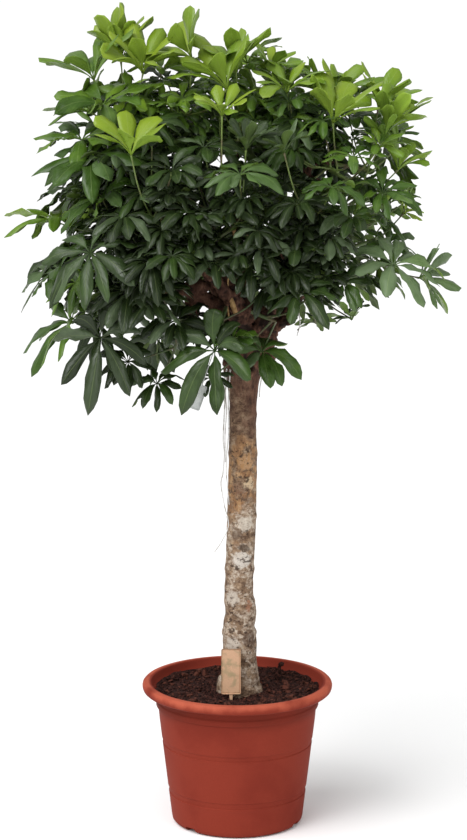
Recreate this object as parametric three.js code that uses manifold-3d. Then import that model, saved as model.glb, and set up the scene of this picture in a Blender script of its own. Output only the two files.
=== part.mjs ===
import * as THREE from "three";
import { mergeVertices } from "three/addons/utils/BufferGeometryUtils.js";
import Module from "manifold-3d";

const wasm = await Module();
wasm.setup();

// Driving dimensions in millimetres, +Z up, the front of the plant faces -Y.
const FIT = 0.4; // free space round whatever stands in a hole
const SEAT = 0.3; // free space between a green stem and the twig it grows from
const CLEAR = 2.8; // least distance between the middle planes of two leaves
const NEAR_CLEAR = 1.2; // least distance between two leaflets of one leaf
const STICK_CLEAR = 1.5; // least free space between two stems
const MERGE = 0.12; // corners nearer to a straight edge than this are dropped after fusing
const WOOD_MERGE = 0.7; // the same for the wood, which is rougher

const POT = {
  height: 342, foot: 141, corner: [[150, 3], [156, 13]], neck: 188.4, neckZ: 283,
  ridge: 191.5, lip: 225, mouth: 204, wall: 5, floorZ: 9, segments: 30,
};
const BANDS = [[73, 89], [193, 207]]; // sunk bands round the wall, from z to z
const BAND = { edge: 2, depth: 1.8 };
const DRAIN = { count: 6, width: 22, height: 9, depth: 12, start: -52 };

const SOIL = { radius: 185.2, top: 313, bottom: 9.5, lump: 7, rings: 5, spokes: 24, chips: 7 };
const STANDING_CHIP = { size: [13, 9, 40], tilt: [0.15, 0.2], x: 99, y: 96, rise: 9 };
const TRUNK = { buriedZ: 120, buriedRadius: 48, sides: 10 };
const THICK_LIMB = 16; // limbs thicker than this at the knot are made rounder
const THICK_LUMP = 33; // and so are lumps of the knot wider than this
const ROOT = { radius: 1.8, end: 1 };
const CARD = {
  width: 46, length: 106, thick: 1.6, stake: 58, stakeWidth: 9, overlap: 10, lean: 9, foot: [231, 694, -68],
};
const TAG = {
  width: 27, length: 58, thick: 1.2, loop: 5, wire: 1, perch: 1.7, before: 12, overlap: 3,
  end: [193.5, 409, -186], spray: 20,
};

// The place that a point of the picture (u right, v down) has at a depth y.
const VIEW = { focal: 2750, centreU: 233.5, centreV: 420, pitch: 10.7, distance: 6295, height: 2159 };

function at(u, v, y) {
  const away = VIEW.distance + y;
  const pitch = THREE.MathUtils.degToRad(VIEW.pitch);
  const z = VIEW.height - away * Math.tan(pitch + Math.atan((v - VIEW.centreV) / VIEW.focal));
  const depth = away * Math.cos(pitch) + (VIEW.height - z) * Math.sin(pitch);
  return new THREE.Vector3(((u - VIEW.centreU) / VIEW.focal) * depth - 9, y, z);
}

function seeded(seed) {
  let state = seed >>> 0;
  return () => {
    state = (state + 0x6d2b79f5) >>> 0;
    let t = state;
    t = Math.imul(t ^ (t >>> 15), t | 1);
    t ^= t + Math.imul(t ^ (t >>> 7), t | 61);
    return ((t ^ (t >>> 14)) >>> 0) / 4294967296;
  };
}

// Helpers that turn points and faces into closed solids.

function solid(geometry) {
  const bare = new THREE.BufferGeometry();
  bare.setAttribute("position", geometry.getAttribute("position"));
  if (geometry.index) bare.setIndex(geometry.index);
  const merged = mergeVertices(bare, 1e-4);
  return new wasm.Manifold(new wasm.Mesh({
    numProp: 3,
    vertProperties: new Float32Array(merged.getAttribute("position").array),
    triVerts: new Uint32Array(merged.index.array),
  }));
}

function faceted(points, triangles) {
  const geometry = new THREE.BufferGeometry();
  const numbers = points.flatMap((p) => [p.x, p.y, p.z]);
  geometry.setAttribute("position", new THREE.Float32BufferAttribute(numbers, 3));
  geometry.setIndex(triangles.flat());
  return geometry;
}

function fuse(solids) {
  return wasm.Manifold.union(solids);
}

function meshOf(manifold, name, colour, roughness) {
  const data = manifold.getMesh();
  const geometry = new THREE.BufferGeometry();
  geometry.setAttribute("position", new THREE.BufferAttribute(new Float32Array(data.vertProperties), 3));
  geometry.setIndex(new THREE.BufferAttribute(new Uint32Array(data.triVerts), 1));
  geometry.computeVertexNormals();
  const material = new THREE.MeshStandardMaterial({ color: colour, roughness, metalness: 0 });
  const mesh = new THREE.Mesh(geometry, material);
  mesh.name = name;
  return mesh;
}

function turned(profile, segments) {
  const points = profile.map(([r, z]) => new THREE.Vector2(r, z));
  const geometry = new THREE.LatheGeometry(points, segments);
  geometry.rotateX(Math.PI / 2);
  return geometry;
}

function block(width, depth, height) {
  return new THREE.BoxGeometry(width, depth, height);
}

// A closed tube through the points, with a radius for each of them.
function tube(points, radii, sides) {
  const ring = [];
  const across = new THREE.Vector3();
  const other = new THREE.Vector3();
  let last = null;
  points.forEach((p, i) => {
    const before = points[Math.max(i - 1, 0)];
    const after = points[Math.min(i + 1, points.length - 1)];
    const along = after.clone().sub(before).normalize();
    if (last === null) {
      const up = Math.abs(along.z) > 0.9 ? new THREE.Vector3(1, 0, 0) : new THREE.Vector3(0, 0, 1);
      across.crossVectors(up, along).normalize();
    } else {
      across.copy(last).addScaledVector(along, -last.dot(along)).normalize();
    }
    last = across.clone();
    other.crossVectors(along, across);
    for (let k = 0; k < sides; k += 1) {
      const turn = (2 * Math.PI * k) / sides;
      const size = typeof radii[i] === "function" ? radii[i](turn) : radii[i];
      const corner = p.clone().addScaledVector(across, size * Math.cos(turn));
      ring.push(corner.addScaledVector(other, size * Math.sin(turn)));
    }
  });
  const triangles = [];
  for (let i = 0; i + 1 < points.length; i += 1) {
    for (let k = 0; k < sides; k += 1) {
      const a = i * sides + k;
      const b = i * sides + ((k + 1) % sides);
      triangles.push([a, b, b + sides], [a, b + sides, a + sides]);
    }
  }
  const end = (points.length - 1) * sides;
  for (let k = 1; k + 1 < sides; k += 1) {
    triangles.push([0, k + 1, k], [end, end + k, end + k + 1]);
  }
  return faceted(ring, triangles);
}

// The pot and the soil in it.

function wallAt(z) {
  const [radius, low] = POT.corner[1];
  return radius + ((z - low) / (POT.neckZ - low)) * (POT.neck - radius);
}

function neckInside() {
  return POT.neck - POT.wall;
}

function bandSteps([from, to]) {
  const { edge, depth } = BAND;
  return [
    [wallAt(from), from], [wallAt(from + edge) - depth, from + edge],
    [wallAt(to - edge) - depth, to - edge], [wallAt(to), to],
  ];
}

function pot() {
  const { height, lip, mouth, ridge, neckZ } = POT;
  const profile = [
    [0, 0], [POT.foot, 0], ...POT.corner, ...BANDS.flatMap(bandSteps), [POT.neck, neckZ], [ridge, neckZ + 2],
    [ridge + 1.5, height - 26], [lip - 8, height - 24], [lip, height - 10], [lip - 8, height],
    [mouth + 3, height], [mouth - 1, height - 5], [mouth - 14, height - 16], [neckInside(), neckZ],
    [POT.corner[1][0] - POT.wall, 18], [POT.foot - 4, POT.floorZ], [0, POT.floorZ],
  ];
  let body = solid(turned(profile, POT.segments));
  for (let i = 0; i < DRAIN.count; i += 1) {
    const turn = THREE.MathUtils.degToRad(DRAIN.start + (360 * i) / DRAIN.count) - Math.PI / 2;
    const notch = block(2 * DRAIN.depth, DRAIN.width, 2 * DRAIN.height);
    notch.translate(POT.corner[1][0], 0, 0);
    notch.rotateZ(turn);
    body = body.subtract(solid(notch));
  }
  return body;
}

function soilHeight(x, y) {
  const broad = Math.sin(x / 23 + 1.3) * Math.cos(y / 19);
  const waves = broad + 0.6 * Math.sin(x / 11 - y / 13) + 0.4 * Math.cos(y / 7 + x / 31);
  const heap = 6 * Math.exp(-(x * x + y * y) / 9000);
  return SOIL.top + heap + SOIL.lump * 0.45 * waves;
}

function soilBed() {
  const random = seeded(11);
  const points = [new THREE.Vector3(0, 0, soilHeight(0, 0))];
  for (let r = 1; r <= SOIL.rings; r += 1) {
    const radius = (SOIL.radius * r) / SOIL.rings;
    for (let k = 0; k < SOIL.spokes; k += 1) {
      const turn = (2 * Math.PI * (k + (r % 2) * 0.5)) / SOIL.spokes;
      const shift = r < SOIL.rings ? (random() - 0.5) * 10 : 0;
      const x = (radius + shift) * Math.cos(turn);
      const y = (radius + shift) * Math.sin(turn);
      const lump = r < SOIL.rings ? (random() - 0.5) * SOIL.lump : 0;
      points.push(new THREE.Vector3(x, y, soilHeight(x, y) + lump));
    }
  }
  const rim = 1 + (SOIL.rings - 1) * SOIL.spokes;
  const facet = Math.cos(Math.PI / POT.segments);
  const skirts = [
    [neckInside() * facet - FIT, POT.neckZ], [(POT.corner[1][0] - POT.wall) * facet - FIT, 18.3],
    [(POT.foot - 4) * facet - FIT, SOIL.bottom],
  ];
  skirts.forEach(([radius, z]) => {
    for (let k = 0; k < SOIL.spokes; k += 1) {
      const turn = (2 * Math.PI * (k + (SOIL.rings % 2) * 0.5)) / SOIL.spokes;
      points.push(new THREE.Vector3(radius * Math.cos(turn), radius * Math.sin(turn), z));
    }
  });
  const floor = points.push(new THREE.Vector3(0, 0, SOIL.bottom)) - 1;
  const triangles = [];
  for (let k = 0; k < SOIL.spokes; k += 1) {
    const next = (k + 1) % SOIL.spokes;
    triangles.push([0, 1 + k, 1 + next]);
    for (let r = 1; r < SOIL.rings; r += 1) {
      const a = 1 + (r - 1) * SOIL.spokes;
      const b = a + SOIL.spokes;
      if (r % 2) triangles.push([a + k, b + k, a + next], [a + next, b + k, b + next]);
      else triangles.push([a + k, b + k, b + next], [a + k, b + next, a + next]);
    }
    for (let s = 0; s < skirts.length; s += 1) {
      const a = rim + s * SOIL.spokes;
      const b = a + SOIL.spokes;
      triangles.push([a + k, b + k, b + next], [a + k, b + next, a + next]);
    }
    const last = rim + skirts.length * SOIL.spokes;
    triangles.push([last + k, floor, last + next]);
  }
  return solid(faceted(points, triangles));
}

// Bark chips that lie half sunk in the soil; one of them stands up behind the trunk.
function barkChips() {
  const random = seeded(29);
  const chips = [];
  for (let i = 0; i < SOIL.chips; i += 1) {
    const turn = random() * 2 * Math.PI;
    const reach = 65 + random() * 95;
    const chip = block(16 + random() * 18, 9 + random() * 9, 9 + random() * 6);
    chip.rotateX((random() - 0.5) * 0.9);
    chip.rotateY((random() - 0.5) * 0.9);
    chip.rotateZ(random() * Math.PI);
    const x = reach * Math.cos(turn);
    const y = reach * Math.sin(turn);
    chip.translate(x, y, soilHeight(x, y) + 1);
    chips.push(solid(chip));
  }
  const { size, tilt, x, y, rise } = STANDING_CHIP;
  const standing = block(...size);
  standing.rotateX(tilt[0]);
  standing.rotateY(tilt[1]);
  standing.translate(x, y, soilHeight(x, y) + rise);
  chips.push(solid(standing));
  return chips;
}

// The trunk, its swollen knot and the woody limbs.

// Picture points of the trunk's left and right edge, from the soil up.
const TRUNK_EDGES = [
  [216, 263, 692], [221, 260, 678], [222.5, 257, 658], [222, 257, 640], [222.5, 254.5, 625], [225, 257, 613],
  [224, 253.5, 595], [225, 253.5, 572], [226, 255.5, 548], [226.5, 256.5, 520], [228, 257, 485],
  [228.5, 257, 440], [229, 257, 405], [227, 259, 385], [223, 263, 368],
];

function trunkPath(extra) {
  const points = [];
  const radii = [];
  const base = at(241, 692, 0);
  points.push(new THREE.Vector3(base.x, 0, TRUNK.buriedZ - extra));
  radii.push(TRUNK.buriedRadius + extra);
  TRUNK_EDGES.forEach(([left, right, v], i) => {
    const a = at(left, v, 0);
    const b = at(right, v, 0);
    points.push(new THREE.Vector3((a.x + b.x) / 2, 0, a.z));
    const half = (b.x - a.x) / 2 + extra;
    const fluted = (turn) => 1 + 0.05 * Math.sin(3 * turn + i * 0.9) + 0.03 * Math.cos(5 * turn + i * 1.7);
    radii.push((turn) => half * fluted(turn));
  });
  return [points, radii];
}

// Woody limbs: picture point, depth and radius of each bend.
const LIMBS = {
  leftLow: [[246, 350, -10, 22], [215, 304, -50, 17], [172, 288, -70, 9]],
  leftUp: [[248, 335, 0, 24], [222, 270, -20, 16], [170, 205, -20, 11], [140, 160, 0, 8]],
  centre: [[250, 330, 0, 24], [240, 250, 0, 14], [235, 175, 10, 8]],
  frontLeft: [[246, 335, -20, 19], [229, 296, -85, 15], [190, 255, -150, 8]],
  frontRight: [[260, 330, -20, 18], [284, 290, -90, 12], [303, 250, -130, 8]],
  right: [[262, 338, 0, 22], [298, 300, -10, 15], [324, 256, -20, 8]],
  rightUp: [[258, 328, 10, 20], [285, 240, 20, 13], [312, 160, 0, 8]],
  backLeft: [[246, 332, 25, 20], [205, 270, 140, 13], [180, 238, 180, 8]],
  backRight: [[260, 332, 25, 20], [298, 270, 140, 13], [325, 205, 210, 8]],
  backLow: [[252, 345, 25, 17], [247, 310, 130, 12], [242, 285, 220, 8]],
  stub: [[250, 320, -30, 15], [236, 300, -70, 12], [226, 293, -92, 10]],
  stubRight: [[268, 330, -5, 14], [292, 318, -50, 11], [297, 306, -60, 7]],
};

// Lumps of the knot: picture point, depth, radii across, deep and high.
const KNOT = [
  [250, 352, 0, 46, 40, 42], [238, 338, -14, 30, 28, 34], [264, 338, -10, 30, 30, 38],
  [252, 318, 6, 34, 32, 44], [268, 356, -6, 20, 22, 20], [232, 362, -16, 22, 24, 22],
  [196, 286, -64, 34, 22, 16], [192, 308, -58, 18, 16, 36],
];

// Thin roots that run down the trunk: picture point and depth of each bend.
const AERIAL_ROOTS = [
  [
    [230, 358, -20], [223, 380, -36], [221.5, 440, -37], [220, 475, -33],
    [226.5, 518, -44], [213.5, 549.5, -32],
  ],
  [[231, 360, -28], [227, 400, -44], [225, 480, -38], [228, 503, -44]],
  [[229, 356, -12], [224.5, 390, -22], [224.5, 462, -18]],
  [[266, 358, -12], [260.5, 384, -26], [259.5, 397, -22]],
  [[297, 306, -62], [300, 322, -60], [297, 336, -58]],
];
// Split canes that prop the knot: picture point, depth and radius of each bend.
const SPLIT_CANES = [
  [[227, 291, -90, 5], [232, 303, -98, 6.5], [236, 314, -96, 5]],
  [[239, 256, -4, 4], [233, 226, -50, 5], [235, 208, -54, 3.5]],
  [[229, 318, -96, 2], [227, 296, -98, 2.2], [230, 262, -104, 2]],
];

function limbPoints(name) {
  return LIMBS[name].map(([u, v, y]) => at(u, v, y));
}

function limbSolids() {
  return Object.keys(LIMBS).map((name) => {
    const radii = LIMBS[name].map((step) => step[3]);
    return solid(tube(limbPoints(name), radii, radii[0] > THICK_LIMB ? 6 : 5));
  });
}

function knotSolids() {
  return KNOT.map(([u, v, y, across, deep, high], i) => {
    const lump = new THREE.IcosahedronGeometry(1, across > THICK_LUMP ? 1 : 0);
    lump.rotateZ(i * 1.1);
    lump.scale(across, deep, high);
    const centre = at(u, v, y);
    lump.translate(centre.x, centre.y, centre.z);
    return solid(lump);
  });
}

function placesOf(path) {
  return path.map(([u, v, y]) => at(u, v, y));
}

function rootSolids() {
  return AERIAL_ROOTS.map((path) => {
    const radii = path.map((p, i) => (i === path.length - 1 ? ROOT.end : ROOT.radius));
    return solid(tube(placesOf(path), radii, 3));
  });
}

function caneSolids() {
  return SPLIT_CANES.map((path) => solid(tube(placesOf(path), path.map((step) => step[3]), 3)));
}

// The label card in the soil and the tag that hangs from a petiole.

// The card on its stake, leaning back toward the trunk; `extra` makes the hole for it in the soil.
function labelCard(extra) {
  const plate = block(CARD.width, CARD.thick + extra, CARD.length);
  plate.translate(0, 0, CARD.length / 2);
  const stake = block(CARD.stakeWidth + extra, CARD.thick + extra, CARD.stake + CARD.overlap + extra);
  stake.translate(0, 0, (CARD.overlap - CARD.stake - extra) / 2);
  const foot = at(...CARD.foot);
  return fuse([plate, stake].map((shape) => {
    shape.rotateX(-THREE.MathUtils.degToRad(CARD.lean));
    shape.translate(foot.x, foot.y, foot.z);
    return solid(shape);
  }));
}

// Where the tag's ring hangs on the petiole, and the foot of the tag.
function tagPath(petiole) {
  const [start, middle] = petiole;
  const along = middle.clone().sub(start).normalize();
  const place = middle.clone().addScaledVector(along, -TAG.before);
  place.z -= TAG.loop - TAG.wire - TAG.perch;
  return { place, along, end: at(...TAG.end) };
}

// A ring round the petiole, a strap and the tag, all in one line down to the tag's foot.
function hangTag(petiole) {
  const { place, along, end } = tagPath(petiole);
  const ring = new THREE.TorusGeometry(TAG.loop, TAG.wire, 3, 8);
  ring.applyQuaternion(new THREE.Quaternion().setFromUnitVectors(new THREE.Vector3(0, 0, 1), along));
  ring.translate(place.x, place.y, place.z);
  const down = end.clone().sub(place).normalize();
  const foot = down.clone().addScaledVector(along, -down.dot(along)).normalize();
  const from = place.clone().addScaledVector(foot, TAG.loop);
  const neck = end.clone().addScaledVector(down, TAG.overlap - TAG.length);
  const plate = block(TAG.width, TAG.thick, TAG.length);
  plate.translate(0, 0, TAG.length / 2);
  plate.applyQuaternion(new THREE.Quaternion().setFromUnitVectors(new THREE.Vector3(0, 0, -1), down));
  plate.translate(end.x - down.x * TAG.length, end.y - down.y * TAG.length, end.z - down.z * TAG.length);
  return fuse([solid(ring), solid(tube([from, neck], [TAG.wire, TAG.wire], 3)), solid(plate)]);
}

// The foliage. Each leaf faces one of these ways.

const FACES = {
  up: [0, -0.12, 1], frontUp: [0, -0.6, 0.8], front: [0, -0.8, 0.55], frontDown: [0, -0.95, 0.3],
  leftUp: [-0.6, -0.25, 0.85], rightUp: [0.6, -0.2, 0.85], left: [-0.9, -0.35, 0.5], right: [0.9, -0.35, 0.5],
  leftFront: [-0.6, -0.7, 0.5], leftDown: [-0.8, -0.5, 0.2],
};

// Each spray: fork of its stem, then its leaves as
// [u, v, depth, leaflet length, facing, opening angle, leaflets, turn, tone 0 dark to 3 yellow-green].
const FRONT_SPRAYS = [
  [
    [128, 118, -10],
    [121, 62, 30, 135, "up", 28, 6, 10, 3],
    [143, 73, -50, 125, "up", 40, 7, 0, 3],
  ],
  [
    [187, 112, -10],
    [192, 58, -20, 115, "up", 42, 7, 20, 3],
    [227, 89, -90, 100, "up", 52, 7, 0, 2],
    [168, 84, 60, 92, "up", 62, 6, 0, 1],
  ],
  [
    [240, 125, 30],
    [236, 72, 30, 122, "up", 32, 6, 15, 2],
    [269, 71, 60, 92, "up", 45, 6, 0, 2],
    [251, 102, 110, 95, "up", 66, 6, 0, 1],
  ],
  [
    [221, 205, -190],
    [222, 116, -230, 80, "up", 52, 7, 0, 3],
    [204, 148, -150, 88, "frontUp", 74, 6, 0, 0],
  ],
  [
    [294, 138, -20],
    [287, 93, -40, 106, "up", 62, 7, 0, 2],
    [337, 97, 50, 92, "up", 36, 6, 0, 2],
    [302, 128, -70, 88, "frontUp", 72, 6, 0, 0],
  ],
  [
    [338, 172, -90],
    [333, 123, -120, 106, "up", 50, 7, 10, 3],
    [353, 158, -170, 95, "frontUp", 65, 7, 0, 1],
  ],
  [
    [368, 170, 0],
    [378, 108, 20, 92, "up", 38, 6, 20, 3],
    [385, 135, -50, 114, "rightUp", 50, 7, 0, 2],
    [350, 122, 60, 88, "up", 66, 6, 0, 1],
  ],
  [
    [364, 200, -70],
    [398, 170, -70, 95, "rightUp", 62, 7, 0, 2],
    [379, 148, -120, 66, "rightUp", 60, 6, 0, 1],
  ],
  [
    [380, 238, 10],
    [403, 214, 10, 52, "rightUp", 50, 4, 30, 3],
    [386, 222, -50, 70, "right", 75, 5, 0, 1],
  ],
  [
    [106, 122, -30],
    [94, 80, -20, 110, "up", 56, 7, 0, 2],
    [103, 105, -100, 92, "leftUp", 60, 7, 0, 1],
    [130, 100, 50, 90, "up", 68, 6, 0, 1],
  ],
  [
    [114, 172, -60],
    [82, 140, -60, 120, "leftUp", 72, 7, 0, 1],
    [92, 160, -120, 128, "left", 70, 7, 20, 1],
  ],
  [
    [150, 215, -210],
    [131, 155, -260, 118, "up", 56, 7, 0, 3],
    [172, 172, -250, 86, "frontUp", 62, 7, 15, 0],
    [152, 128, -130, 92, "frontUp", 70, 6, 0, 0],
  ],
  [
    [243, 222, -200],
    [240, 175, -290, 94, "frontUp", 76, 8, 0, 1],
    [246, 150, -230, 92, "up", 38, 6, 0, 0],
  ],
  [
    [312, 220, -190],
    [331, 188, -270, 86, "frontUp", 76, 6, 0, 1],
    [284, 153, -230, 84, "up", 42, 6, 0, 0],
  ],
  [
    [112, 228, -70],
    [103, 200, -130, 108, "leftUp", 74, 7, 0, 1],
    [56, 222, -10, 112, "leftUp", 62, 5, 10, 2],
  ],
  [
    [128, 268, -150],
    [90, 253, -230, 136, "front", 84, 7, 0, 0],
    [60, 271, -60, 104, "left", 74, 6, 0, 1],
  ],
  [
    [118, 302, -70],
    [76, 283, -130, 86, "leftFront", 80, 6, 12, 2],
    [72, 323, -110, 112, "leftDown", 70, 6, 0, 1],
  ],
  [
    [134, 312, -130],
    [100, 338, -230, 140, "front", 82, 8, 0, 0],
    [128, 292, -210, 88, "front", 88, 7, 0, 0],
  ],
  [
    [174, 352, -50],
    [157, 384, -90, 70, "frontDown", 84, 5, 0, 0],
    [128, 362, -70, 74, "frontDown", 66, 6, 0, 0],
  ],
  [
    [222, 322, -140],
    [215, 351, -240, 128, "frontDown", 72, 7, 0, 1],
    [233, 340, -200, 68, "frontUp", 70, 5, 0, 2],
  ],
  [
    [276, 322, -80],
    [262, 352, -120, 96, "frontDown", 72, 6, 20, 1],
    [212, 378, -150, 58, "frontDown", 75, 4, 40, 0],
  ],
  [
    [302, 262, -160],
    [301, 293, -280, 120, "front", 80, 8, 0, 0],
    [296, 250, -250, 96, "frontUp", 76, 7, 0, 0],
  ],
  [
    [345, 258, -140],
    [343, 284, -220, 86, "frontDown", 74, 7, 0, 1],
    [330, 238, -240, 84, "frontUp", 80, 7, 0, 0],
  ],
  [
    [368, 248, -90],
    [393, 266, -200, 110, "frontUp", 84, 8, 0, 0],
    [419, 278, -120, 108, "right", 55, 5, 0, 1],
  ],
  [
    [192, 240, -180],
    [172, 257, -300, 76, "front", 80, 6, 0, 0],
    [188, 214, -270, 86, "frontUp", 78, 6, 0, 0],
  ],
  [
    [236, 248, -160],
    [214, 262, -260, 76, "front", 78, 6, 0, 0],
    [252, 266, -250, 76, "front", 80, 6, 20, 0],
  ],
  [
    [166, 290, -120],
    [176, 322, -180, 92, "frontDown", 72, 6, 0, 0],
    [150, 302, -220, 86, "front", 78, 6, 25, 0],
  ],
  [
    [322, 222, -120],
    [352, 218, -230, 84, "frontUp", 78, 6, 0, 0],
    [297, 205, -270, 84, "frontUp", 80, 6, 15, 0],
  ],
  [
    [146, 238, -140],
    [124, 218, -240, 94, "frontUp", 80, 6, 0, 0],
    [150, 262, -270, 80, "front", 84, 6, 10, 0],
  ],
];

// The side away from the photo: forks spread by the golden angle over an ellipsoid.
const BACK = {
  sprays: 18, centre: [232, 214], depth: 20, wide: 265, deep: 270, high: 235, seed: 41, shift: 0.3,
};
const BACK_LEAVES = { count: 4, reach: 150, near: 92, far: 120, leaflets: 5 };

// Shape of a leaflet as shares of its length; hub and ribThick are millimetres.
const LEAF = {
  rib: 0.55, side: 0.62, halfWidth: 0.19, notch: 0.15, arch: 0.06, sag: 0.25, sideSag: 0.07, drop: 0.035,
  hub: 1.6, ribThick: 1.1,
};
const STEM = { least: 75, share: 0.42, root: 5, fork: 3.6, petiole: 2.1, tip: 1.7, twig: 6.5 };

// Ways for one leaflet to keep clear of its neighbours: lift, swing, share of its length.
const WAYS = [
  [0, 0, 1], [12, 0, 1], [-12, 0, 1], [0, 9, 1], [0, -9, 1], [24, 0, 1], [-24, 0, 1],
  [14, 9, 0.9], [-14, -9, 0.9], [0, 0, 0.78], [18, 0, 0.78], [-18, 0, 0.78],
  [32, 8, 0.8], [-32, -8, 0.8], [0, 0, 0.58], [22, 0, 0.58], [-22, 0, 0.58],
];
// How far the middle of a petiole may be bent aside and up to keep clear.
const BOWS = [
  [0, 0], [14, 0], [-14, 0], [0, 14], [0, -14], [28, 12], [-28, 12], [28, -16], [-28, -16], [45, 0], [-45, 0],
];
const PUSHES = [0, 30, 60, 90]; // how far a fork may be moved outward for its stem to come free
const SHIFTS = [0, -14, 14, -28, 28, -45, 45]; // how far a leaf may be moved in depth for its petiole
const SEATS = { tagged: [0], even: [0.02, 0.14, 0.3, 0.5], odd: [0.14, 0.02, 0.3, 0.5] }; // along the stem
const SCATTER = { seed: 5, turn: 14, open: 12, least: 0.84, spread: 0.24, cupBelow: 60, cup: 0.45 };

function backSprays() {
  const random = seeded(BACK.seed);
  const sprays = [];
  for (let i = 0; i < BACK.sprays; i += 1) {
    const height = 0.92 - (1.72 * (i + 0.5)) / BACK.sprays;
    const turn = ((i * 0.618034 + BACK.shift) % 1) * Math.PI * 1.16 - 0.08 * Math.PI;
    const wide = Math.sqrt(1 - height * height);
    const out = new THREE.Vector3(Math.cos(turn) * wide, Math.sin(turn) * wide, height);
    const middle = at(BACK.centre[0], BACK.centre[1], BACK.depth);
    const fork = new THREE.Vector3(BACK.wide * out.x, BACK.deep * out.y, BACK.high * out.z).add(middle);
    const side = new THREE.Vector3(-Math.sin(turn), Math.cos(turn), 0);
    const rise = new THREE.Vector3().crossVectors(out, side);
    const leaves = [];
    for (let k = 0; k < BACK_LEAVES.count; k += 1) {
      const round = (2 * Math.PI * (k + 0.5 * random())) / BACK_LEAVES.count;
      const open = 0.5 + 0.35 * random();
      const way = out.clone().multiplyScalar(0.85).addScaledVector(side, Math.cos(round) * open)
        .addScaledVector(rise, Math.sin(round) * open).normalize();
      const hub = fork.clone().addScaledVector(way, BACK_LEAVES.reach * (0.75 + 0.4 * random()));
      const facing = way.clone().addScaledVector(new THREE.Vector3(0, 0, 1), 0.75).normalize();
      const length = BACK_LEAVES.near + (BACK_LEAVES.far - BACK_LEAVES.near) * random();
      const cone = 58 + 26 * random() - 20 * Math.max(height, 0);
      const tone = height > 0.45 ? 2 : Number(height > 0);
      leaves.push({
        hub, facing, length, open: cone, count: BACK_LEAVES.leaflets, turn: 360 * random(), tone,
      });
    }
    sprays.push({ fork, leaves });
  }
  return sprays;
}

function frontSprays() {
  return FRONT_SPRAYS.map(([fork, ...leaves]) => ({
    fork: at(...fork),
    leaves: leaves.map(([u, v, y, length, face, open, count, turn, tone]) => {
      const facing = new THREE.Vector3(...FACES[face]).normalize();
      return { hub: at(u, v, y), facing, length, open, count, turn, tone };
    }),
  }));
}

// Distances between stems and leaflets, to keep the sprays clear of each other.

function segmentGap(a, b, c, d) {
  const u = b.clone().sub(a);
  const v = d.clone().sub(c);
  const w = a.clone().sub(c);
  const uu = u.dot(u);
  const uv = u.dot(v);
  const vv = v.dot(v);
  const uw = u.dot(w);
  const vw = v.dot(w);
  const spread = uu * vv - uv * uv;
  let s = spread > 1e-9 ? THREE.MathUtils.clamp((uv * vw - vv * uw) / spread, 0, 1) : 0;
  let t = vv > 1e-9 ? (uv * s + vw) / vv : 0;
  if (t < 0 || t > 1 || vv < 1e-9) {
    t = THREE.MathUtils.clamp(t, 0, 1);
    s = uu > 1e-9 ? THREE.MathUtils.clamp((uv * t - uw) / uu, 0, 1) : 0;
  }
  return w.addScaledVector(u, s).addScaledVector(v, -t).length();
}

const probe = new THREE.Ray();
const hit = new THREE.Vector3();

function segmentCrosses(a, b, [p, q, r]) {
  probe.origin.copy(a);
  probe.direction.copy(b).sub(a);
  const length = probe.direction.length();
  if (length < 1e-9) return false;
  probe.direction.divideScalar(length);
  return probe.intersectTriangle(p, q, r, false, hit) !== null && hit.distanceTo(a) <= length;
}

const flat = new THREE.Triangle();

function pointGap(point, [p, q, r]) {
  flat.set(p, q, r);
  flat.closestPointToPoint(point, hit);
  return hit.distanceTo(point);
}

function segmentTriangleGap(a, b, triangle) {
  if (segmentCrosses(a, b, triangle)) return 0;
  let gap = Math.min(pointGap(a, triangle), pointGap(b, triangle));
  for (let i = 0; i < 3; i += 1) gap = Math.min(gap, segmentGap(a, b, triangle[i], triangle[(i + 1) % 3]));
  return gap;
}

function triangleGap(one, two) {
  let gap = Infinity;
  for (let i = 0; i < 3; i += 1) {
    gap = Math.min(gap, segmentTriangleGap(one[i], one[(i + 1) % 3], two));
    if (gap === 0) return 0;
    if (segmentCrosses(two[i], two[(i + 1) % 3], one)) return 0;
    gap = Math.min(gap, pointGap(two[i], one));
  }
  return gap;
}

// Whether the outer faces of one leaflet come too near its neighbour on the same leaf.
function touchesBeside(blade, neighbour) {
  const own = neighbour.faces.slice(0, 4);
  return blade.faces.slice(1, 3).some((face) => own.some((theirs) => triangleGap(face, theirs) < NEAR_CLEAR));
}

// Everything that has grown so far, as sticks with a radius and leaflets of thin faces.
class Surroundings {
  constructor() {
    this.sticks = [];
    this.blades = [];
  }

  addStick(points, radius, owner) {
    for (let i = 0; i + 1 < points.length; i += 1) {
      this.sticks.push({ a: points[i], b: points[i + 1], radius, owner });
    }
  }

  stickFree(points, radius, owner) {
    for (let i = 0; i + 1 < points.length; i += 1) {
      for (const stick of this.sticks) {
        if (stick.owner === owner) continue;
        const least = stick.radius + radius + STICK_CLEAR;
        if (segmentGap(points[i], points[i + 1], stick.a, stick.b) < least) return false;
      }
    }
    return true;
  }

  bladeFree(blade, stem) {
    for (const stick of this.sticks) {
      if (stick.owner === stem) continue;
      const least = stick.radius + CLEAR;
      if (segmentGap(stick.a, stick.b, blade.centre, blade.centre) > blade.reach + least) continue;
      if (blade.faces.some((face) => segmentTriangleGap(stick.a, stick.b, face) < least)) return false;
    }
    for (const other of this.blades) {
      if (other.leaf === blade.leaf) {
        if (touchesBeside(blade, other) || touchesBeside(other, blade)) return false;
        continue;
      }
      if (other.centre.distanceTo(blade.centre) > other.reach + blade.reach + CLEAR) continue;
      for (const face of blade.faces) {
        if (other.faces.some((theirs) => triangleGap(face, theirs) < CLEAR)) return false;
      }
    }
    return true;
  }
}

// How one spray grows: a woody twig, a green stem, petioles and leaflets.

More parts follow.
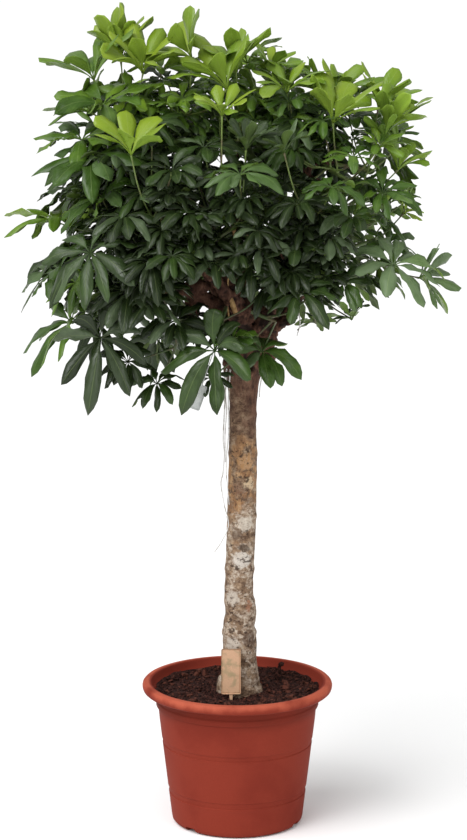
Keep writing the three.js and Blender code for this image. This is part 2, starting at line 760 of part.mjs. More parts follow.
// A petiole from its place on the stem to the hub, hollow side under the leaf.
function bowed(start, leaf, [aside, above]) {
  const along = leaf.hub.clone().sub(start);
  const side = new THREE.Vector3(-along.y, along.x, 0).normalize();
  const rise = new THREE.Vector3().crossVectors(along.clone().normalize(), side);
  const middle = start.clone().addScaledVector(along, 0.6).addScaledVector(leaf.facing, -0.14 * along.length())
    .addScaledVector(side, aside).addScaledVector(rise, above);
  return [start, middle, leaf.hub];
}

function freeBow(start, leaf, owner, around) {
  return BOWS.map((bow) => bowed(start, leaf, bow)).find((path) => around.stickFree(path, STEM.petiole, owner));
}

// The places on the limbs where a twig may begin.
function limbPlaces() {
  const places = [];
  Object.keys(LIMBS).filter((name) => !name.startsWith("stub")).forEach((name) => {
    const points = limbPoints(name);
    for (let t = 0.4; t <= 1.001; t += 0.1) {
      const where = (points.length - 1) * Math.min(t, 1);
      const i = Math.min(Math.floor(where), points.length - 2);
      places.push(points[i].clone().lerp(points[i + 1], where - i));
    }
  });
  return places;
}

// The woody twig of a spray leaves the nearest limb; its green stem goes on to the fork.
function growStem(spray, around) {
  const outward = spray.fork.clone().sub(at(...BACK.centre, BACK.depth)).normalize();
  for (const push of PUSHES) {
    const fork = spray.fork.clone().addScaledVector(outward, push);
    const places = limbPlaces().filter((from) => from.distanceTo(fork) > STEM.least);
    places.sort((one, two) => one.distanceTo(fork) - two.distanceTo(fork));
    for (const from of places) {
      const seat = from.clone().lerp(fork, STEM.share);
      const start = seat.clone().addScaledVector(fork.clone().sub(from).normalize(), SEAT);
      const clear = around.stickFree([from.clone().lerp(seat, 0.4), seat, fork], STEM.twig, "wood");
      if (clear && around.stickFree([start.clone().lerp(fork, 0.1), fork], STEM.root, "")) {
        return { fork, wood: [from, seat], stem: [start, fork] };
      }
    }
  }
  throw new Error(`no free way for the stem of ${spray.name}`);
}

// The direction at an angle round the leaf's facing and an angle away from it.
function directionOf(leaf, around, open) {
  const [ahead, aside] = leafAxes(leaf);
  return leaf.facing.clone().multiplyScalar(Math.cos(open))
    .addScaledVector(ahead, Math.sin(open) * Math.cos(around))
    .addScaledVector(aside, Math.sin(open) * Math.sin(around));
}

// The corners of one leaflet: a raised rib, two drooping sides and a drooping tip.
function bladePoints(leaf, k, way) {
  const [lift, swing, share] = way;
  const normal = leaf.facing;
  const around = THREE.MathUtils.degToRad(leaf.turn + (360 * k) / leaf.count + leaf.scatter[k].turn + swing);
  const open = THREE.MathUtils.degToRad(leaf.open + leaf.scatter[k].open - lift);
  const out = directionOf(leaf, around, Math.PI / 2);
  const along = directionOf(leaf, around, open);
  const across = new THREE.Vector3().crossVectors(normal, out).normalize();
  const back = new THREE.Vector3().crossVectors(across, along).normalize();
  const length = leaf.length * leaf.scatter[k].size * share;
  const down = new THREE.Vector3(0, 0, -1);
  const fall = length * Math.sin(open);
  const rib = leaf.hub.clone().addScaledVector(along, LEAF.rib * length)
    .addScaledVector(back, -LEAF.arch * length).addScaledVector(down, 0.5 * LEAF.sideSag * fall);
  const tip = leaf.hub.clone().addScaledVector(along, length).addScaledVector(down, LEAF.sag * fall);
  const middle = leaf.hub.clone().addScaledVector(along, LEAF.side * length)
    .addScaledVector(back, LEAF.drop * length).addScaledVector(down, LEAF.sideSag * fall);
  const half = LEAF.halfWidth * length * Math.sqrt(1 / share);
  const left = middle.clone().addScaledVector(across, -half);
  const right = middle.clone().addScaledVector(across, half);
  return { rib, tip, left, right, back, around, open };
}

// The faces of one leaflet and of the web at its root, as they are tested for free space.
function bladeShape(leaf, points) {
  const { rib, tip, left, right, around, open } = points;
  const notch = (side) => {
    const between = directionOf(leaf, around + (side * Math.PI) / leaf.count, open);
    return leaf.hub.clone().addScaledVector(between, LEAF.notch * leaf.length);
  };
  return {
    leaf,
    faces: [
      [leaf.hub, left, rib], [left, tip, rib], [tip, right, rib], [right, leaf.hub, rib],
      [leaf.hub, notch(-1), left], [leaf.hub, right, notch(1)],
    ],
    centre: rib,
    reach: Math.max(rib.distanceTo(tip), rib.distanceTo(leaf.hub)),
  };
}

function leafAxes(leaf) {
  const ahead = new THREE.Vector3().crossVectors(leaf.facing, new THREE.Vector3(0.31, 0.9, 0.3)).normalize();
  return [ahead, new THREE.Vector3().crossVectors(leaf.facing, ahead)];
}

function petioleRing(centre, along, ahead, radius) {
  const across = ahead.clone().addScaledVector(along, -along.dot(ahead)).normalize();
  const other = new THREE.Vector3().crossVectors(along, across);
  return [0, 1, 2].map((k) => {
    const turn = (2 * Math.PI * k) / 3;
    return centre.clone().addScaledVector(across, radius * Math.cos(turn))
      .addScaledVector(other, radius * Math.sin(turn));
  });
}

// One compound leaf on its petiole: thin leaflets round a hub, their outline cut in to the hub between them.
function leafSolid(leaf) {
  const points = [];
  const add = (p) => points.push(p) - 1;
  const [ahead, aside] = leafAxes(leaf);
  const angleOf = (p) => Math.atan2(p.clone().sub(leaf.hub).dot(aside), p.clone().sub(leaf.hub).dot(ahead));
  const top = add(leaf.hub.clone().addScaledVector(leaf.facing, LEAF.hub));
  const { blades } = leaf;
  const notches = blades.map((blade, i) => {
    const next = blades[(i + 1) % blades.length];
    const gap = (next.around - blade.around + 4 * Math.PI) % (2 * Math.PI);
    const between = directionOf(leaf, blade.around + gap / 2, (blade.open + next.open) / 2);
    return add(leaf.hub.clone().addScaledVector(between, LEAF.notch * leaf.length));
  });
  const triangles = [];
  const loop = [];
  blades.forEach((blade, i) => {
    const before = notches[(i + blades.length - 1) % blades.length];
    const after = notches[i];
    const over = add(blade.rib.clone().addScaledVector(blade.back, -LEAF.ribThick));
    const under = add(blade.rib.clone().addScaledVector(blade.back, LEAF.ribThick));
    const edge = [before, add(blade.left), add(blade.tip), add(blade.right), after];
    triangles.push([top, before, over], [top, over, after]);
    for (let j = 0; j < 4; j += 1) {
      triangles.push([over, edge[j], edge[j + 1]], [under, edge[j + 1], edge[j]]);
    }
    loop.push(before, under);
  });
  const [start, middle, end] = leaf.petiole;
  const joint = end.clone().addScaledVector(leaf.facing, -LEAF.hub);
  const rings = [
    petioleRing(joint, leaf.facing, ahead, STEM.tip),
    petioleRing(middle, end.clone().sub(start).normalize(), ahead, STEM.petiole),
    petioleRing(start, middle.clone().sub(start).normalize(), ahead, STEM.petiole),
  ].map((ring) => ring.map(add));
  const third = (2 * Math.PI) / 3;
  const nearest = (j) => {
    const [p, q] = [points[loop[j]], points[loop[(j + 1) % loop.length]]];
    return (Math.round(angleOf(p.clone().add(q).multiplyScalar(0.5)) / third) + 3) % 3;
  };
  loop.forEach((p, j) => {
    const q = loop[(j + 1) % loop.length];
    const own = nearest(j);
    let last = nearest((j + loop.length - 1) % loop.length);
    while (last !== own) {
      const step = (last + 1) % 3;
      triangles.push([rings[0][last], rings[0][step], p]);
      last = step;
    }
    triangles.push([rings[0][own], q, p]);
  });
  for (let r = 0; r + 1 < rings.length; r += 1) {
    for (let k = 0; k < 3; k += 1) {
      const next = (k + 1) % 3;
      const [a, b] = [rings[r][k], rings[r][next]];
      const [c, d] = [rings[r + 1][k], rings[r + 1][next]];
      triangles.push([a, c, d], [a, d, b]);
    }
  }
  const [a, b, c] = rings[2];
  triangles.push([a, c, b]);
  return solid(faceted(points, triangles));
}

const TONES = ["#2b4526", "#3d6529", "#5c8a2b", "#86a62f"];
const ROOM = { limb: 3, trunk: 52, cane: 6 }; // how much room the wood takes, in millimetres

function addWood(around) {
  Object.keys(LIMBS).forEach((name) => {
    around.addStick(limbPoints(name), LIMBS[name][1][3] + ROOM.limb, "wood");
  });
  around.addStick(trunkPath(0)[0], ROOM.trunk, "wood");
  KNOT.forEach(([u, v, y, across, , high]) => {
    const rise = new THREE.Vector3(0, 0, Math.max(high - across, 1));
    around.addStick([at(u, v, y).sub(rise), at(u, v, y).add(rise)], across, "wood");
  });
  [...AERIAL_ROOTS, ...SPLIT_CANES].forEach((path) => around.addStick(placesOf(path), ROOM.cane, "wood"));
}

// Small random turns and sizes of the leaflets; upright leaves open by turns more and less.
function scatterLeaflets(leaf, random) {
  const cup = Math.max(0, SCATTER.cupBelow - leaf.open) * SCATTER.cup;
  return Array.from({ length: leaf.count }, (none, k) => ({
    turn: (random() - 0.5) * SCATTER.turn,
    open: (random() - 0.5) * SCATTER.open + (k % 2 ? cup : -0.5 * cup),
    size: SCATTER.least + SCATTER.spread * random(),
  }));
}

function hubStick(leaf) {
  return [leaf.hub.clone().addScaledVector(leaf.facing, -LEAF.hub), leaf.hub];
}

// A petiole that keeps clear; where none does, the leaf is first moved a little in depth.
function growPetiole(spray, leaf, shares, around) {
  const wished = leaf.hub;
  const room = LEAF.notch * leaf.length + 1;
  for (const shift of SHIFTS) {
    leaf.hub = wished.clone().add(new THREE.Vector3(0, shift, 0));
    if (!around.stickFree(hubStick(leaf), room, spray.name)) continue;
    for (const share of shares) {
      const start = spray.stem[1].clone().lerp(spray.stem[0], share);
      leaf.petiole = freeBow(start, leaf, spray.name, around);
      if (!leaf.petiole) continue;
      around.addStick(leaf.petiole, STEM.petiole, spray.name);
      around.addStick(hubStick(leaf), room, spray.name);
      return;
    }
  }
}

function growBlades(spray, leaf, around) {
  leaf.blades = [];
  for (let k = 0; k < leaf.count; k += 1) {
    const ways = WAYS.map((way) => bladePoints(leaf, k, way));
    const free = ways.find((points) => around.bladeFree(bladeShape(leaf, points), spray.name));
    if (free) {
      leaf.blades.push(free);
      around.blades.push(bladeShape(leaf, free));
    }
  }
}

function addTag(spray, around) {
  const { place, end } = tagPath(spray.leaves[0].petiole);
  const plateTop = end.clone().lerp(place, TAG.length / end.distanceTo(place));
  around.addStick([place, plateTop], 3 * TAG.wire, "tag");
  around.addStick([plateTop, end], TAG.width / 2, "tag");
}

function growFoliage() {
  const around = new Surroundings();
  const random = seeded(SCATTER.seed);
  const sprays = [...frontSprays(), ...backSprays()];
  addWood(around);
  sprays.forEach((spray, i) => {
    spray.name = `spray_${String(i + 1).padStart(2, "0")}`;
    spray.leaves.forEach((leaf) => { leaf.scatter = scatterLeaflets(leaf, random); });
    Object.assign(spray, growStem(spray, around));
    around.addStick(spray.wood, STEM.twig, "wood");
    around.addStick(spray.stem, STEM.root, spray.name);
  });
  const tagged = sprays[TAG.spray - 1];
  growPetiole(tagged, tagged.leaves[0], SEATS.tagged, around);
  addTag(tagged, around);
  sprays.forEach((spray) => {
    spray.leaves.forEach((leaf, k) => {
      if (!leaf.petiole) growPetiole(spray, leaf, k % 2 ? SEATS.odd : SEATS.even, around);
    });
  });
  sprays.forEach((spray) => {
    spray.leaves = spray.leaves.filter((leaf) => leaf.petiole);
    spray.leaves.forEach((leaf) => growBlades(spray, leaf, around));
  });
  return sprays;
}

function spraySolid(spray) {
  const stem = solid(tube(spray.stem, [STEM.root, STEM.fork], 4));
  return fuse([stem, ...spray.leaves.map(leafSolid)]).asOriginal().simplify(MERGE);
}

function build() {
  const group = new THREE.Group();
  const sprays = growFoliage();
  const twigs = sprays.map((spray) => solid(tube(spray.wood, [STEM.twig, STEM.root], 3)));
  const stock = solid(tube(...trunkPath(0), TRUNK.sides));
  const wood = fuse([stock, ...limbSolids(), ...knotSolids(), ...rootSolids(), ...caneSolids(), ...twigs])
    .asOriginal().simplify(WOOD_MERGE);
  const hole = solid(tube(...trunkPath(FIT), TRUNK.sides));
  const soil = fuse([soilBed(), ...barkChips()]).subtract(fuse([hole, labelCard(2 * FIT)]))
    .asOriginal().simplify(MERGE);
  group.add(meshOf(pot(), "pot", "#a84c38", 0.55));
  group.add(meshOf(soil, "soil", "#2e1d1a", 0.95));
  group.add(meshOf(wood, "trunk", "#8d7c68", 0.9));
  group.add(meshOf(labelCard(0), "plant_label", "#cfa480", 0.6));
  group.add(meshOf(hangTag(sprays[TAG.spray - 1].leaves[0].petiole), "hang_tag", "#d8dad6", 0.5));
  sprays.forEach((spray) => {
    group.add(meshOf(spraySolid(spray), spray.name, TONES[spray.leaves[0].tone], 0.4));
  });
  return group;
}

export default build();
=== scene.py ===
"""Dresses the potted umbrella plant: foliage, wood, soil, pot, label and tag."""

import logging
import math
from collections.abc import Iterator
from contextlib import contextmanager
from dataclasses import dataclass, field, replace
from enum import Enum

import bpy
import numpy as np
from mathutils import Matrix, Vector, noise
from mathutils.kdtree import KDTree

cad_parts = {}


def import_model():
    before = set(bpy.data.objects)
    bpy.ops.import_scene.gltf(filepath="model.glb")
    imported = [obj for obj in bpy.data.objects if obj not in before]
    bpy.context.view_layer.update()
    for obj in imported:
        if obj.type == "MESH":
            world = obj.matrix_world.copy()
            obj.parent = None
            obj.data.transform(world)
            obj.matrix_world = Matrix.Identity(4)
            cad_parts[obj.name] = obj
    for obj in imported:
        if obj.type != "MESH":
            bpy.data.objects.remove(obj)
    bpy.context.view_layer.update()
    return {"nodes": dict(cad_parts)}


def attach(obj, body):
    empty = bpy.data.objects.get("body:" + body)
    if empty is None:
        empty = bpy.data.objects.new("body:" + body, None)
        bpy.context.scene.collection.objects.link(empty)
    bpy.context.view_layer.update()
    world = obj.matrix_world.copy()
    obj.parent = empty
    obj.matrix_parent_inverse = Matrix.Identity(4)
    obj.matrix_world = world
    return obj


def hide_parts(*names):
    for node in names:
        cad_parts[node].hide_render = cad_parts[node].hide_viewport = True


LOG = logging.getLogger("umbrella_plant")
MM = 0.001  # metres
GOLDEN = 0.618034  # share of a turn from one shoot at the back to the next
WORD = 0xFFFFFFFF  # all of 32 bits
DOWN = np.array([0.0, 0.0, -1.0])
ASKEW = (0.31, 0.9, 0.3)  # a direction that no leaf faces, to measure turns from
GREY = (0.5, 0.5, 0.5, 1)  # where a finish names no colour
Array = np.ndarray
Point = np.ndarray
Piece = bpy.types.Object
Node = bpy.types.Node
Socket = bpy.types.NodeSocket


def unit(v: Point | tuple) -> Point:
    """Returns the vector at length one."""
    v = np.asarray(v, float)
    return v / max(float(np.linalg.norm(v)), 1e-12)


def smoothstep(low: float, high: float, x: Array | float) -> Array | float:
    """Returns 0 below low, 1 above high and a smooth rise between them."""
    t = np.clip((np.asarray(x, float) - low) / (high - low), 0, 1)
    return t * t * (3 - 2 * t)


@dataclass(frozen=True)
class Viewpoint:
    """Where the plant is seen from, in millimetres and pixels of a 467 by 840 frame."""

    focal: float = 2750
    centre_u: float = 233.5
    centre_v: float = 420
    frame_height: float = 840
    pitch: float = 10.7
    distance: float = 6295
    height: float = 2159
    aside: float = -9

    def at(self, u: float, v: float, y: float) -> Point:
        """Gives the place that a point of the frame has at a depth.

        Args:
            u: Pixels to the right.
            v: Pixels down.
            y: Depth in millimetres, positive away from the viewer.

        Returns:
            The point in millimetres.
        """
        away = self.distance + y
        pitch = math.radians(self.pitch)
        z = self.height - away * math.tan(pitch + math.atan((v - self.centre_v) / self.focal))
        depth = away * math.cos(pitch) + (self.height - z) * math.sin(pitch)
        return np.array([(u - self.centre_u) / self.focal * depth + self.aside, y, z])

    def path(self, bends: list) -> Array:
        """Returns the places of several bends, each given as u, v and depth first."""
        return np.array([self.at(*bend[:3]) for bend in bends])

    def tube(self, bends: list) -> Array:
        """Returns the places of several bends, each with the radius that it gives last."""
        return np.c_[self.path(bends), [bend[3] for bend in bends]]


VIEW = Viewpoint()


class Seeded:
    """A small random source that gives the same numbers as the one that placed the leaves."""

    stride = 0x6D2B79F5

    def __init__(self, seed: int) -> None:
        """Starts the row of numbers at a seed."""
        self.state = seed & WORD

    def __call__(self) -> float:
        """Returns the next number from 0 to 1."""
        self.state = (self.state + self.stride) & WORD
        t = self.state
        t = ((t ^ (t >> 15)) * (t | 1)) & WORD
        t ^= (t + (((t ^ (t >> 7)) * (t | 61)) & WORD)) & WORD
        return ((t ^ (t >> 14)) & WORD) / (WORD + 1)


class Facing(Enum):
    """The ways that a leaf can face."""

    UP = (0, -0.12, 1)
    FRONT_UP = (0, -0.6, 0.8)
    FRONT = (0, -0.8, 0.55)
    FRONT_DOWN = (0, -0.95, 0.3)
    LEFT_UP = (-0.6, -0.25, 0.85)
    RIGHT_UP = (0.6, -0.2, 0.85)
    LEFT = (-0.9, -0.35, 0.5)
    RIGHT = (0.9, -0.35, 0.5)
    LEFT_FRONT = (-0.6, -0.7, 0.5)
    LEFT_DOWN = (-0.8, -0.5, 0.2)


UP, FRONT_UP, FRONT, FRONT_DOWN, LEFT_UP, RIGHT_UP, LEFT, RIGHT, LEFT_FRONT, LEFT_DOWN = Facing


@dataclass(frozen=True)
class Look:
    """How a leaf that shows is held: facing, opening angle, leaflet length, tone, hang, grey sheen, width.
    The tones partly paint light and shade, and the grey sheen is a painted reflection.
    """

    facing: tuple
    open: float
    length: float
    tone: float
    sag: float = 0.45
    sheen: float = 0.0
    wide: float = 1.0


# Each front spray: the fork of its stem, then its leaves as u, v, depth, leaflet length, facing,
# opening angle, leaflets, turn and tone from 0 dark to 3 yellow-green.
FRONT_SPRAYS = [
    [(128, 118, -10), (121, 62, 30, 135, UP, 28, 6, 10, 3), (143, 73, -50, 125, UP, 40, 7, 0, 3)],
    [(187, 112, -10), (192, 58, -20, 115, UP, 42, 7, 20, 3), (227, 89, -90, 100, UP, 52, 7, 0, 2),
     (168, 84, 60, 92, UP, 62, 6, 0, 1)],
    [(240, 125, 30), (236, 72, 30, 122, UP, 32, 6, 15, 2), (269, 71, 60, 92, UP, 45, 6, 0, 2),
     (251, 102, 110, 95, UP, 66, 6, 0, 1)],
    [(221, 205, -190), (222, 116, -230, 80, UP, 52, 7, 0, 3), (204, 148, -150, 88, FRONT_UP, 74, 6, 0, 0)],
    [(294, 138, -20), (287, 93, -40, 106, UP, 62, 7, 0, 2), (337, 97, 50, 92, UP, 36, 6, 0, 2),
     (302, 128, -70, 88, FRONT_UP, 72, 6, 0, 0)],
    [(338, 172, -90), (333, 123, -120, 106, UP, 50, 7, 10, 3), (353, 158, -170, 95, FRONT_UP, 65, 7, 0, 1)],
    [(368, 170, 0), (378, 108, 20, 92, UP, 38, 6, 20, 3), (385, 135, -50, 114, RIGHT_UP, 50, 7, 0, 2),
     (350, 122, 60, 88, UP, 66, 6, 0, 1)],
    [(364, 200, -70), (398, 170, -70, 95, RIGHT_UP, 62, 7, 0, 2),
     (379, 148, -120, 66, RIGHT_UP, 60, 6, 0, 1)],
    [(380, 238, 10), (403, 214, 10, 52, RIGHT_UP, 50, 4, 30, 3), (386, 222, -50, 70, RIGHT, 75, 5, 0, 1)],
    [(106, 122, -30), (94, 80, -20, 110, UP, 56, 7, 0, 2), (103, 105, -100, 92, LEFT_UP, 60, 7, 0, 1),
     (130, 100, 50, 90, UP, 68, 6, 0, 1)],
    [(114, 172, -60), (82, 140, -60, 120, LEFT_UP, 72, 7, 0, 1), (92, 160, -120, 128, LEFT, 70, 7, 20, 1)],
    [(150, 215, -210), (131, 155, -260, 118, UP, 56, 7, 0, 3),
     (172, 172, -250, 86, FRONT_UP, 62, 7, 15, 0), (152, 128, -130, 92, FRONT_UP, 70, 6, 0, 0)],
    [(243, 222, -200), (240, 175, -290, 94, FRONT_UP, 76, 8, 0, 1), (246, 150, -230, 92, UP, 38, 6, 0, 0)],
    [(312, 220, -190), (331, 188, -270, 86, FRONT_UP, 76, 6, 0, 1), (284, 153, -230, 84, UP, 42, 6, 0, 0)],
    [(112, 228, -70), (103, 200, -130, 108, LEFT_UP, 74, 7, 0, 1),
     (56, 222, -10, 112, LEFT_UP, 62, 5, 10, 2)],
    [(128, 268, -150), (90, 253, -230, 136, FRONT, 84, 7, 0, 0), (60, 271, -60, 104, LEFT, 74, 6, 0, 1)],
    [(118, 302, -70), (76, 283, -130, 86, LEFT_FRONT, 80, 6, 12, 2),
     (72, 323, -110, 112, LEFT_DOWN, 70, 6, 0, 1)],
    [(134, 312, -130), (100, 338, -230, 140, FRONT, 82, 8, 0, 0), (128, 292, -210, 88, FRONT, 88, 7, 0, 0)],
    [(174, 352, -50), (157, 384, -90, 70, FRONT_DOWN, 84, 5, 0, 0),
     (128, 362, -70, 74, FRONT_DOWN, 66, 6, 0, 0)],
    [(222, 322, -140), (215, 351, -240, 128, FRONT_DOWN, 72, 7, 0, 1),
     (233, 340, -200, 68, FRONT_UP, 70, 5, 0, 2)],
    [(276, 322, -80), (262, 352, -120, 96, FRONT_DOWN, 72, 6, 20, 1),
     (212, 378, -150, 58, FRONT_DOWN, 75, 4, 40, 0)],
    [(302, 262, -160), (301, 293, -280, 120, FRONT, 80, 8, 0, 0),
     (296, 250, -250, 96, FRONT_UP, 76, 7, 0, 0)],
    [(345, 258, -140), (343, 284, -220, 86, FRONT_DOWN, 74, 7, 0, 1),
     (330, 238, -240, 84, FRONT_UP, 80, 7, 0, 0)],
    [(368, 248, -90), (393, 266, -200, 110, FRONT_UP, 84, 8, 0, 0),
     (419, 278, -120, 108, RIGHT, 55, 5, 0, 1)],
    [(192, 240, -180), (172, 257, -300, 76, FRONT, 80, 6, 0, 0),
     (188, 214, -270, 86, FRONT_UP, 78, 6, 0, 0)],
    [(236, 248, -160), (214, 262, -260, 76, FRONT, 78, 6, 0, 0), (252, 266, -250, 76, FRONT, 80, 6, 20, 0)],
    [(166, 290, -120), (176, 322, -180, 92, FRONT_DOWN, 72, 6, 0, 0),
     (150, 302, -220, 86, FRONT, 78, 6, 25, 0)],
    [(322, 222, -120), (352, 218, -230, 84, FRONT_UP, 78, 6, 0, 0),
     (297, 205, -270, 84, FRONT_UP, 80, 6, 15, 0)],
    [(146, 238, -140), (124, 218, -240, 94, FRONT_UP, 80, 6, 0, 0),
     (150, 262, -270, 80, FRONT, 84, 6, 10, 0)],
]

# How the most visible leaves are held: number of the shoot, number of the leaf on it, then as in Look.
LOOKS = {row[:2]: Look(*row[2:]) for row in [
    (0, 0, (-0.1, 0.05, 1), 22, 138, 3, 0.3), (0, 1, (0.02, -0.25, 1), 42, 140, 3, 0.3, 0, 1.1),
    (1, 0, (-0.85, -0.05, 1), 46, 120, 2.8, 0.3, 0, 1.15),
    (1, 1, (-0.25, -0.12, 1), 40, 144, 2.6, 0.3, 0, 1.05),
    (2, 0, (-0.25, -0.1, 1), 38, 136, 2.5, 0.3, 0, 1.1), (2, 1, (0.3, -0.1, 1), 46, 84, 2.3, 0.3),
    (3, 0, (0.05, -0.25, 1), 46, 96, 2.8, 0.3, 0, 1.05), (4, 0, (0, -0.2, 1), 52, 122, 2.3, 0.45, 0, 1.05),
    (4, 1, (0.15, -0.2, 1), 40, 100, 2.5, 0.3, 0, 1.05),
    (5, 0, (0.22, -0.15, 1), 42, 146, 2.5, 0.3, 0, 1.12), (5, 1, (0.1, -0.3, 1), 74, 84, 1.1, 0.8),
    (6, 0, (0.3, -0.1, 1), 42, 116, 2.5, 0.3), (6, 1, (0.4, 0.08, 1), 32, 138, 2.4, 0.2, 0, 1.05),
    (7, 0, (0.25, -0.05, 1), 42, 96, 2.1, 0.2), (7, 1, (0.3, -0.3, 1), 55, 72, 1.8),
    (9, 0, (-0.32, -0.08, 1), 50, 148, 1.5, 0.22), (9, 1, (-0.12, -0.25, 1), 76, 124, 1.4, 0.3),
    (10, 0, (-0.12, -0.3, 1), 78, 132, 1.2, 0.3), (10, 1, (-0.12, -0.3, 1), 80, 138, 0.9, 0.4),
    (11, 0, (0, -0.25, 1), 46, 132, 2.8, 0.35, 0, 1.3), (12, 0, (0, -0.3, 1), 80, 92, 0.9, 0.9, 0.2),
    (12, 1, (0.1, -0.1, 1), 36, 92, 0.2, 0.3, 0.3), (13, 0, (0.1, -0.2, 1), 82, 78, 0.8, 0.9),
    (13, 1, (-0.1, -0.1, 1), 40, 86, 0.1, 0.3, 0.35), (14, 1, (-0.1, 0.15, 1), 72, 122, 1.8, 0.05),
    (15, 0, (-0.35, -0.65, 0.55), 82, 124, 0.1, 0.9, 0.1), (16, 0, (-0.7, -0.4, 0.8), 74, 86, 1.5, 0.6),
    (16, 1, (-0.75, -0.3, 0.55), 66, 118, 1.2, 1), (17, 0, (0.2, -0.9, 0.1), 76, 128, -1.2, 0.8, 0, 0.92),
    (18, 0, (-0.2, -0.5, 0.8), 76, 74, 0, 1), (19, 0, (-0.35, -0.7, 0.2), 72, 128, 0.2, 1, 0, 1.2),
    (19, 1, (0, -0.3, 1), 70, 68, 0.9, 0.6), (20, 0, (0.35, -0.45, 0.8), 80, 92, 0.6, 1, 0, 1.3),
    (21, 0, (-0.15, -0.55, 0.85), 80, 96, 0.1, 0.9), (22, 0, (0, -0.6, 0.6), 72, 66, 0.5, 1),
    (23, 0, (0.3, -0.6, 1), 76, 116, 0.9, 0.7, 0.75), (23, 1, (0.85, -0.45, 0.25), 48, 104, 1, 0.5, 0.45),
    (24, 0, (0, -0.5, 0.9), 76, 70, -0.2, 1, 0, 1.15), (27, 0, (0.2, -0.3, 1), 76, 80, 0.2, 0.9),
    (32, 2, (0.2, 0.2, 1), 44, 80, 1.4, 0.3, 0, 0.85), (35, 0, (-0.4, 0.6, 1), 32, 58, 1.2, 0.2, 0, 0.85),
    (35, 1, (-0.15, 0.2, 1), 40, 80, 1.3, 0.3, 0, 0.85), (35, 2, (0.1, -0.5, 0.8), 70, 92, 1, 0.6, 0, 0.9),
    (35, 3, (-0.1, 0.1, 1), 52, 66, 1.2, 0.3, 0, 0.85), (37, 2, (0.1, 0.1, 1), 62, 92, 1.2, 0.3),
    (40, 0, (0, 0.4, 1), 66, 84, 1, 0.3), (40, 1, (-0.5, 0.3, 1), 30, 46, 1.2, 0.2, 0, 0.8),
    (40, 2, (0.2, -0.4, 0.9), 62, 80, 1, 0.4), (45, 2, (-0.4, 0.3, 1), 54, 66, 0.6, 0.3),
    (45, 3, (-0.2, 0.5, 1), 66, 60, 0.4, 0.3),
]}

# The trunk's outline: left and right edge and height in the frame, from the soil up.
TRUNK_EDGES = [
    (216, 263, 692), (221, 260, 678), (222.5, 257, 658), (222, 257, 640), (222.5, 254.5, 625),
    (225, 257, 613), (224, 253.5, 595), (225, 253.5, 572), (226, 255.5, 548), (226.5, 256.5, 520),
    (228, 257, 485), (228.5, 257, 440), (229, 257, 405), (227, 259, 385), (223, 263, 368),
]
# Each limb's bends as u, v, depth and radius in millimetres.
LIMBS = {
    "left_low": [(246, 350, -10, 22), (215, 304, -50, 17), (172, 288, -70, 9)],
    "left_up": [(248, 335, 0, 24), (222, 270, -20, 16), (170, 205, -20, 11), (140, 160, 0, 8)],
    "centre": [(250, 330, 0, 24), (240, 250, 0, 14), (235, 175, 10, 8)],
    "front_left": [(246, 335, -20, 19), (229, 296, -85, 15), (190, 255, -150, 8)],
    "front_right": [(260, 330, -20, 18), (284, 290, -90, 12), (303, 250, -130, 8)],
    "right": [(262, 338, 0, 22), (298, 300, -10, 15), (324, 256, -20, 8)],
    "right_up": [(258, 328, 10, 20), (285, 240, 20, 13), (312, 160, 0, 8)],
    "back_left": [(246, 332, 25, 20), (205, 270, 140, 13), (180, 238, 180, 8)],
    "back_right": [(260, 332, 25, 20), (298, 270, 140, 13), (325, 205, 210, 8)],
    "back_low": [(252, 345, 25, 17), (247, 310, 130, 12), (242, 285, 220, 8)],
    "stub": [(250, 320, -30, 15), (236, 300, -70, 12), (226, 293, -92, 10)],
    "stub_right": [(268, 330, -5, 14), (292, 318, -50, 11), (297, 306, -60, 7)],
}
# Lumps of the knot: u, v, depth, then half sizes across, deep and high.
KNOT = [
    (250, 352, 0, 46, 40, 42), (238, 338, -14, 30, 28, 34), (264, 338, -10, 30, 30, 38),
    (252, 318, 6, 34, 32, 44), (268, 356, -6, 20, 22, 20), (232, 362, -16, 22, 24, 22),
    (196, 286, -64, 34, 22, 16), (192, 308, -58, 18, 16, 36),
]
# Ridges that run from the knot down the trunk, as the limbs list their bends.
RIDGES = [
    [(257, 336, -30, 14), (256, 356, -31, 11), (253, 376, -29, 6)],
    [(236, 346, -28, 12), (233, 366, -27, 8), (232, 380, -24, 4)],
]
# Thin roots that hang down the trunk: u, v and depth of their bends.
AERIAL_ROOTS = [
    [(230, 358, -20), (224.5, 380, -36), (224.6, 405, -37), (223.2, 438, -36), (224.3, 453, -37),
     (223, 473, -35), (221, 484, -34), (224.3, 505, -38), (228.4, 525, -44), (222, 541, -38),
     (214.6, 552, -32)],
    [(231, 360, -28), (228.4, 400, -44), (228.8, 430, -42), (226.8, 453, -41), (226.2, 470, -41),
     (227.6, 488, -43), (229.2, 505, -46)],
    [(229, 356, -12), (225.6, 390, -22), (226.4, 412, -21), (225, 436, -19), (225.4, 462, -18)],
    [(266, 358, -12), (260.5, 384, -26), (259.5, 397, -22)],
    [(297, 306, -62), (300, 322, -60), (297, 336, -58)],
]
# Canes stuck in the knot, as the limbs list their bends.
SPLIT_CANES = [
    [(227, 291, -90, 5), (232, 303, -98, 6.5), (236, 314, -96, 5)],
    [(239, 256, -4, 4), (233, 226, -50, 5), (235, 208, -54, 3.5)],
    [(229, 318, -96, 2), (227, 296, -98, 2.2), (230, 262, -104, 2)],
]


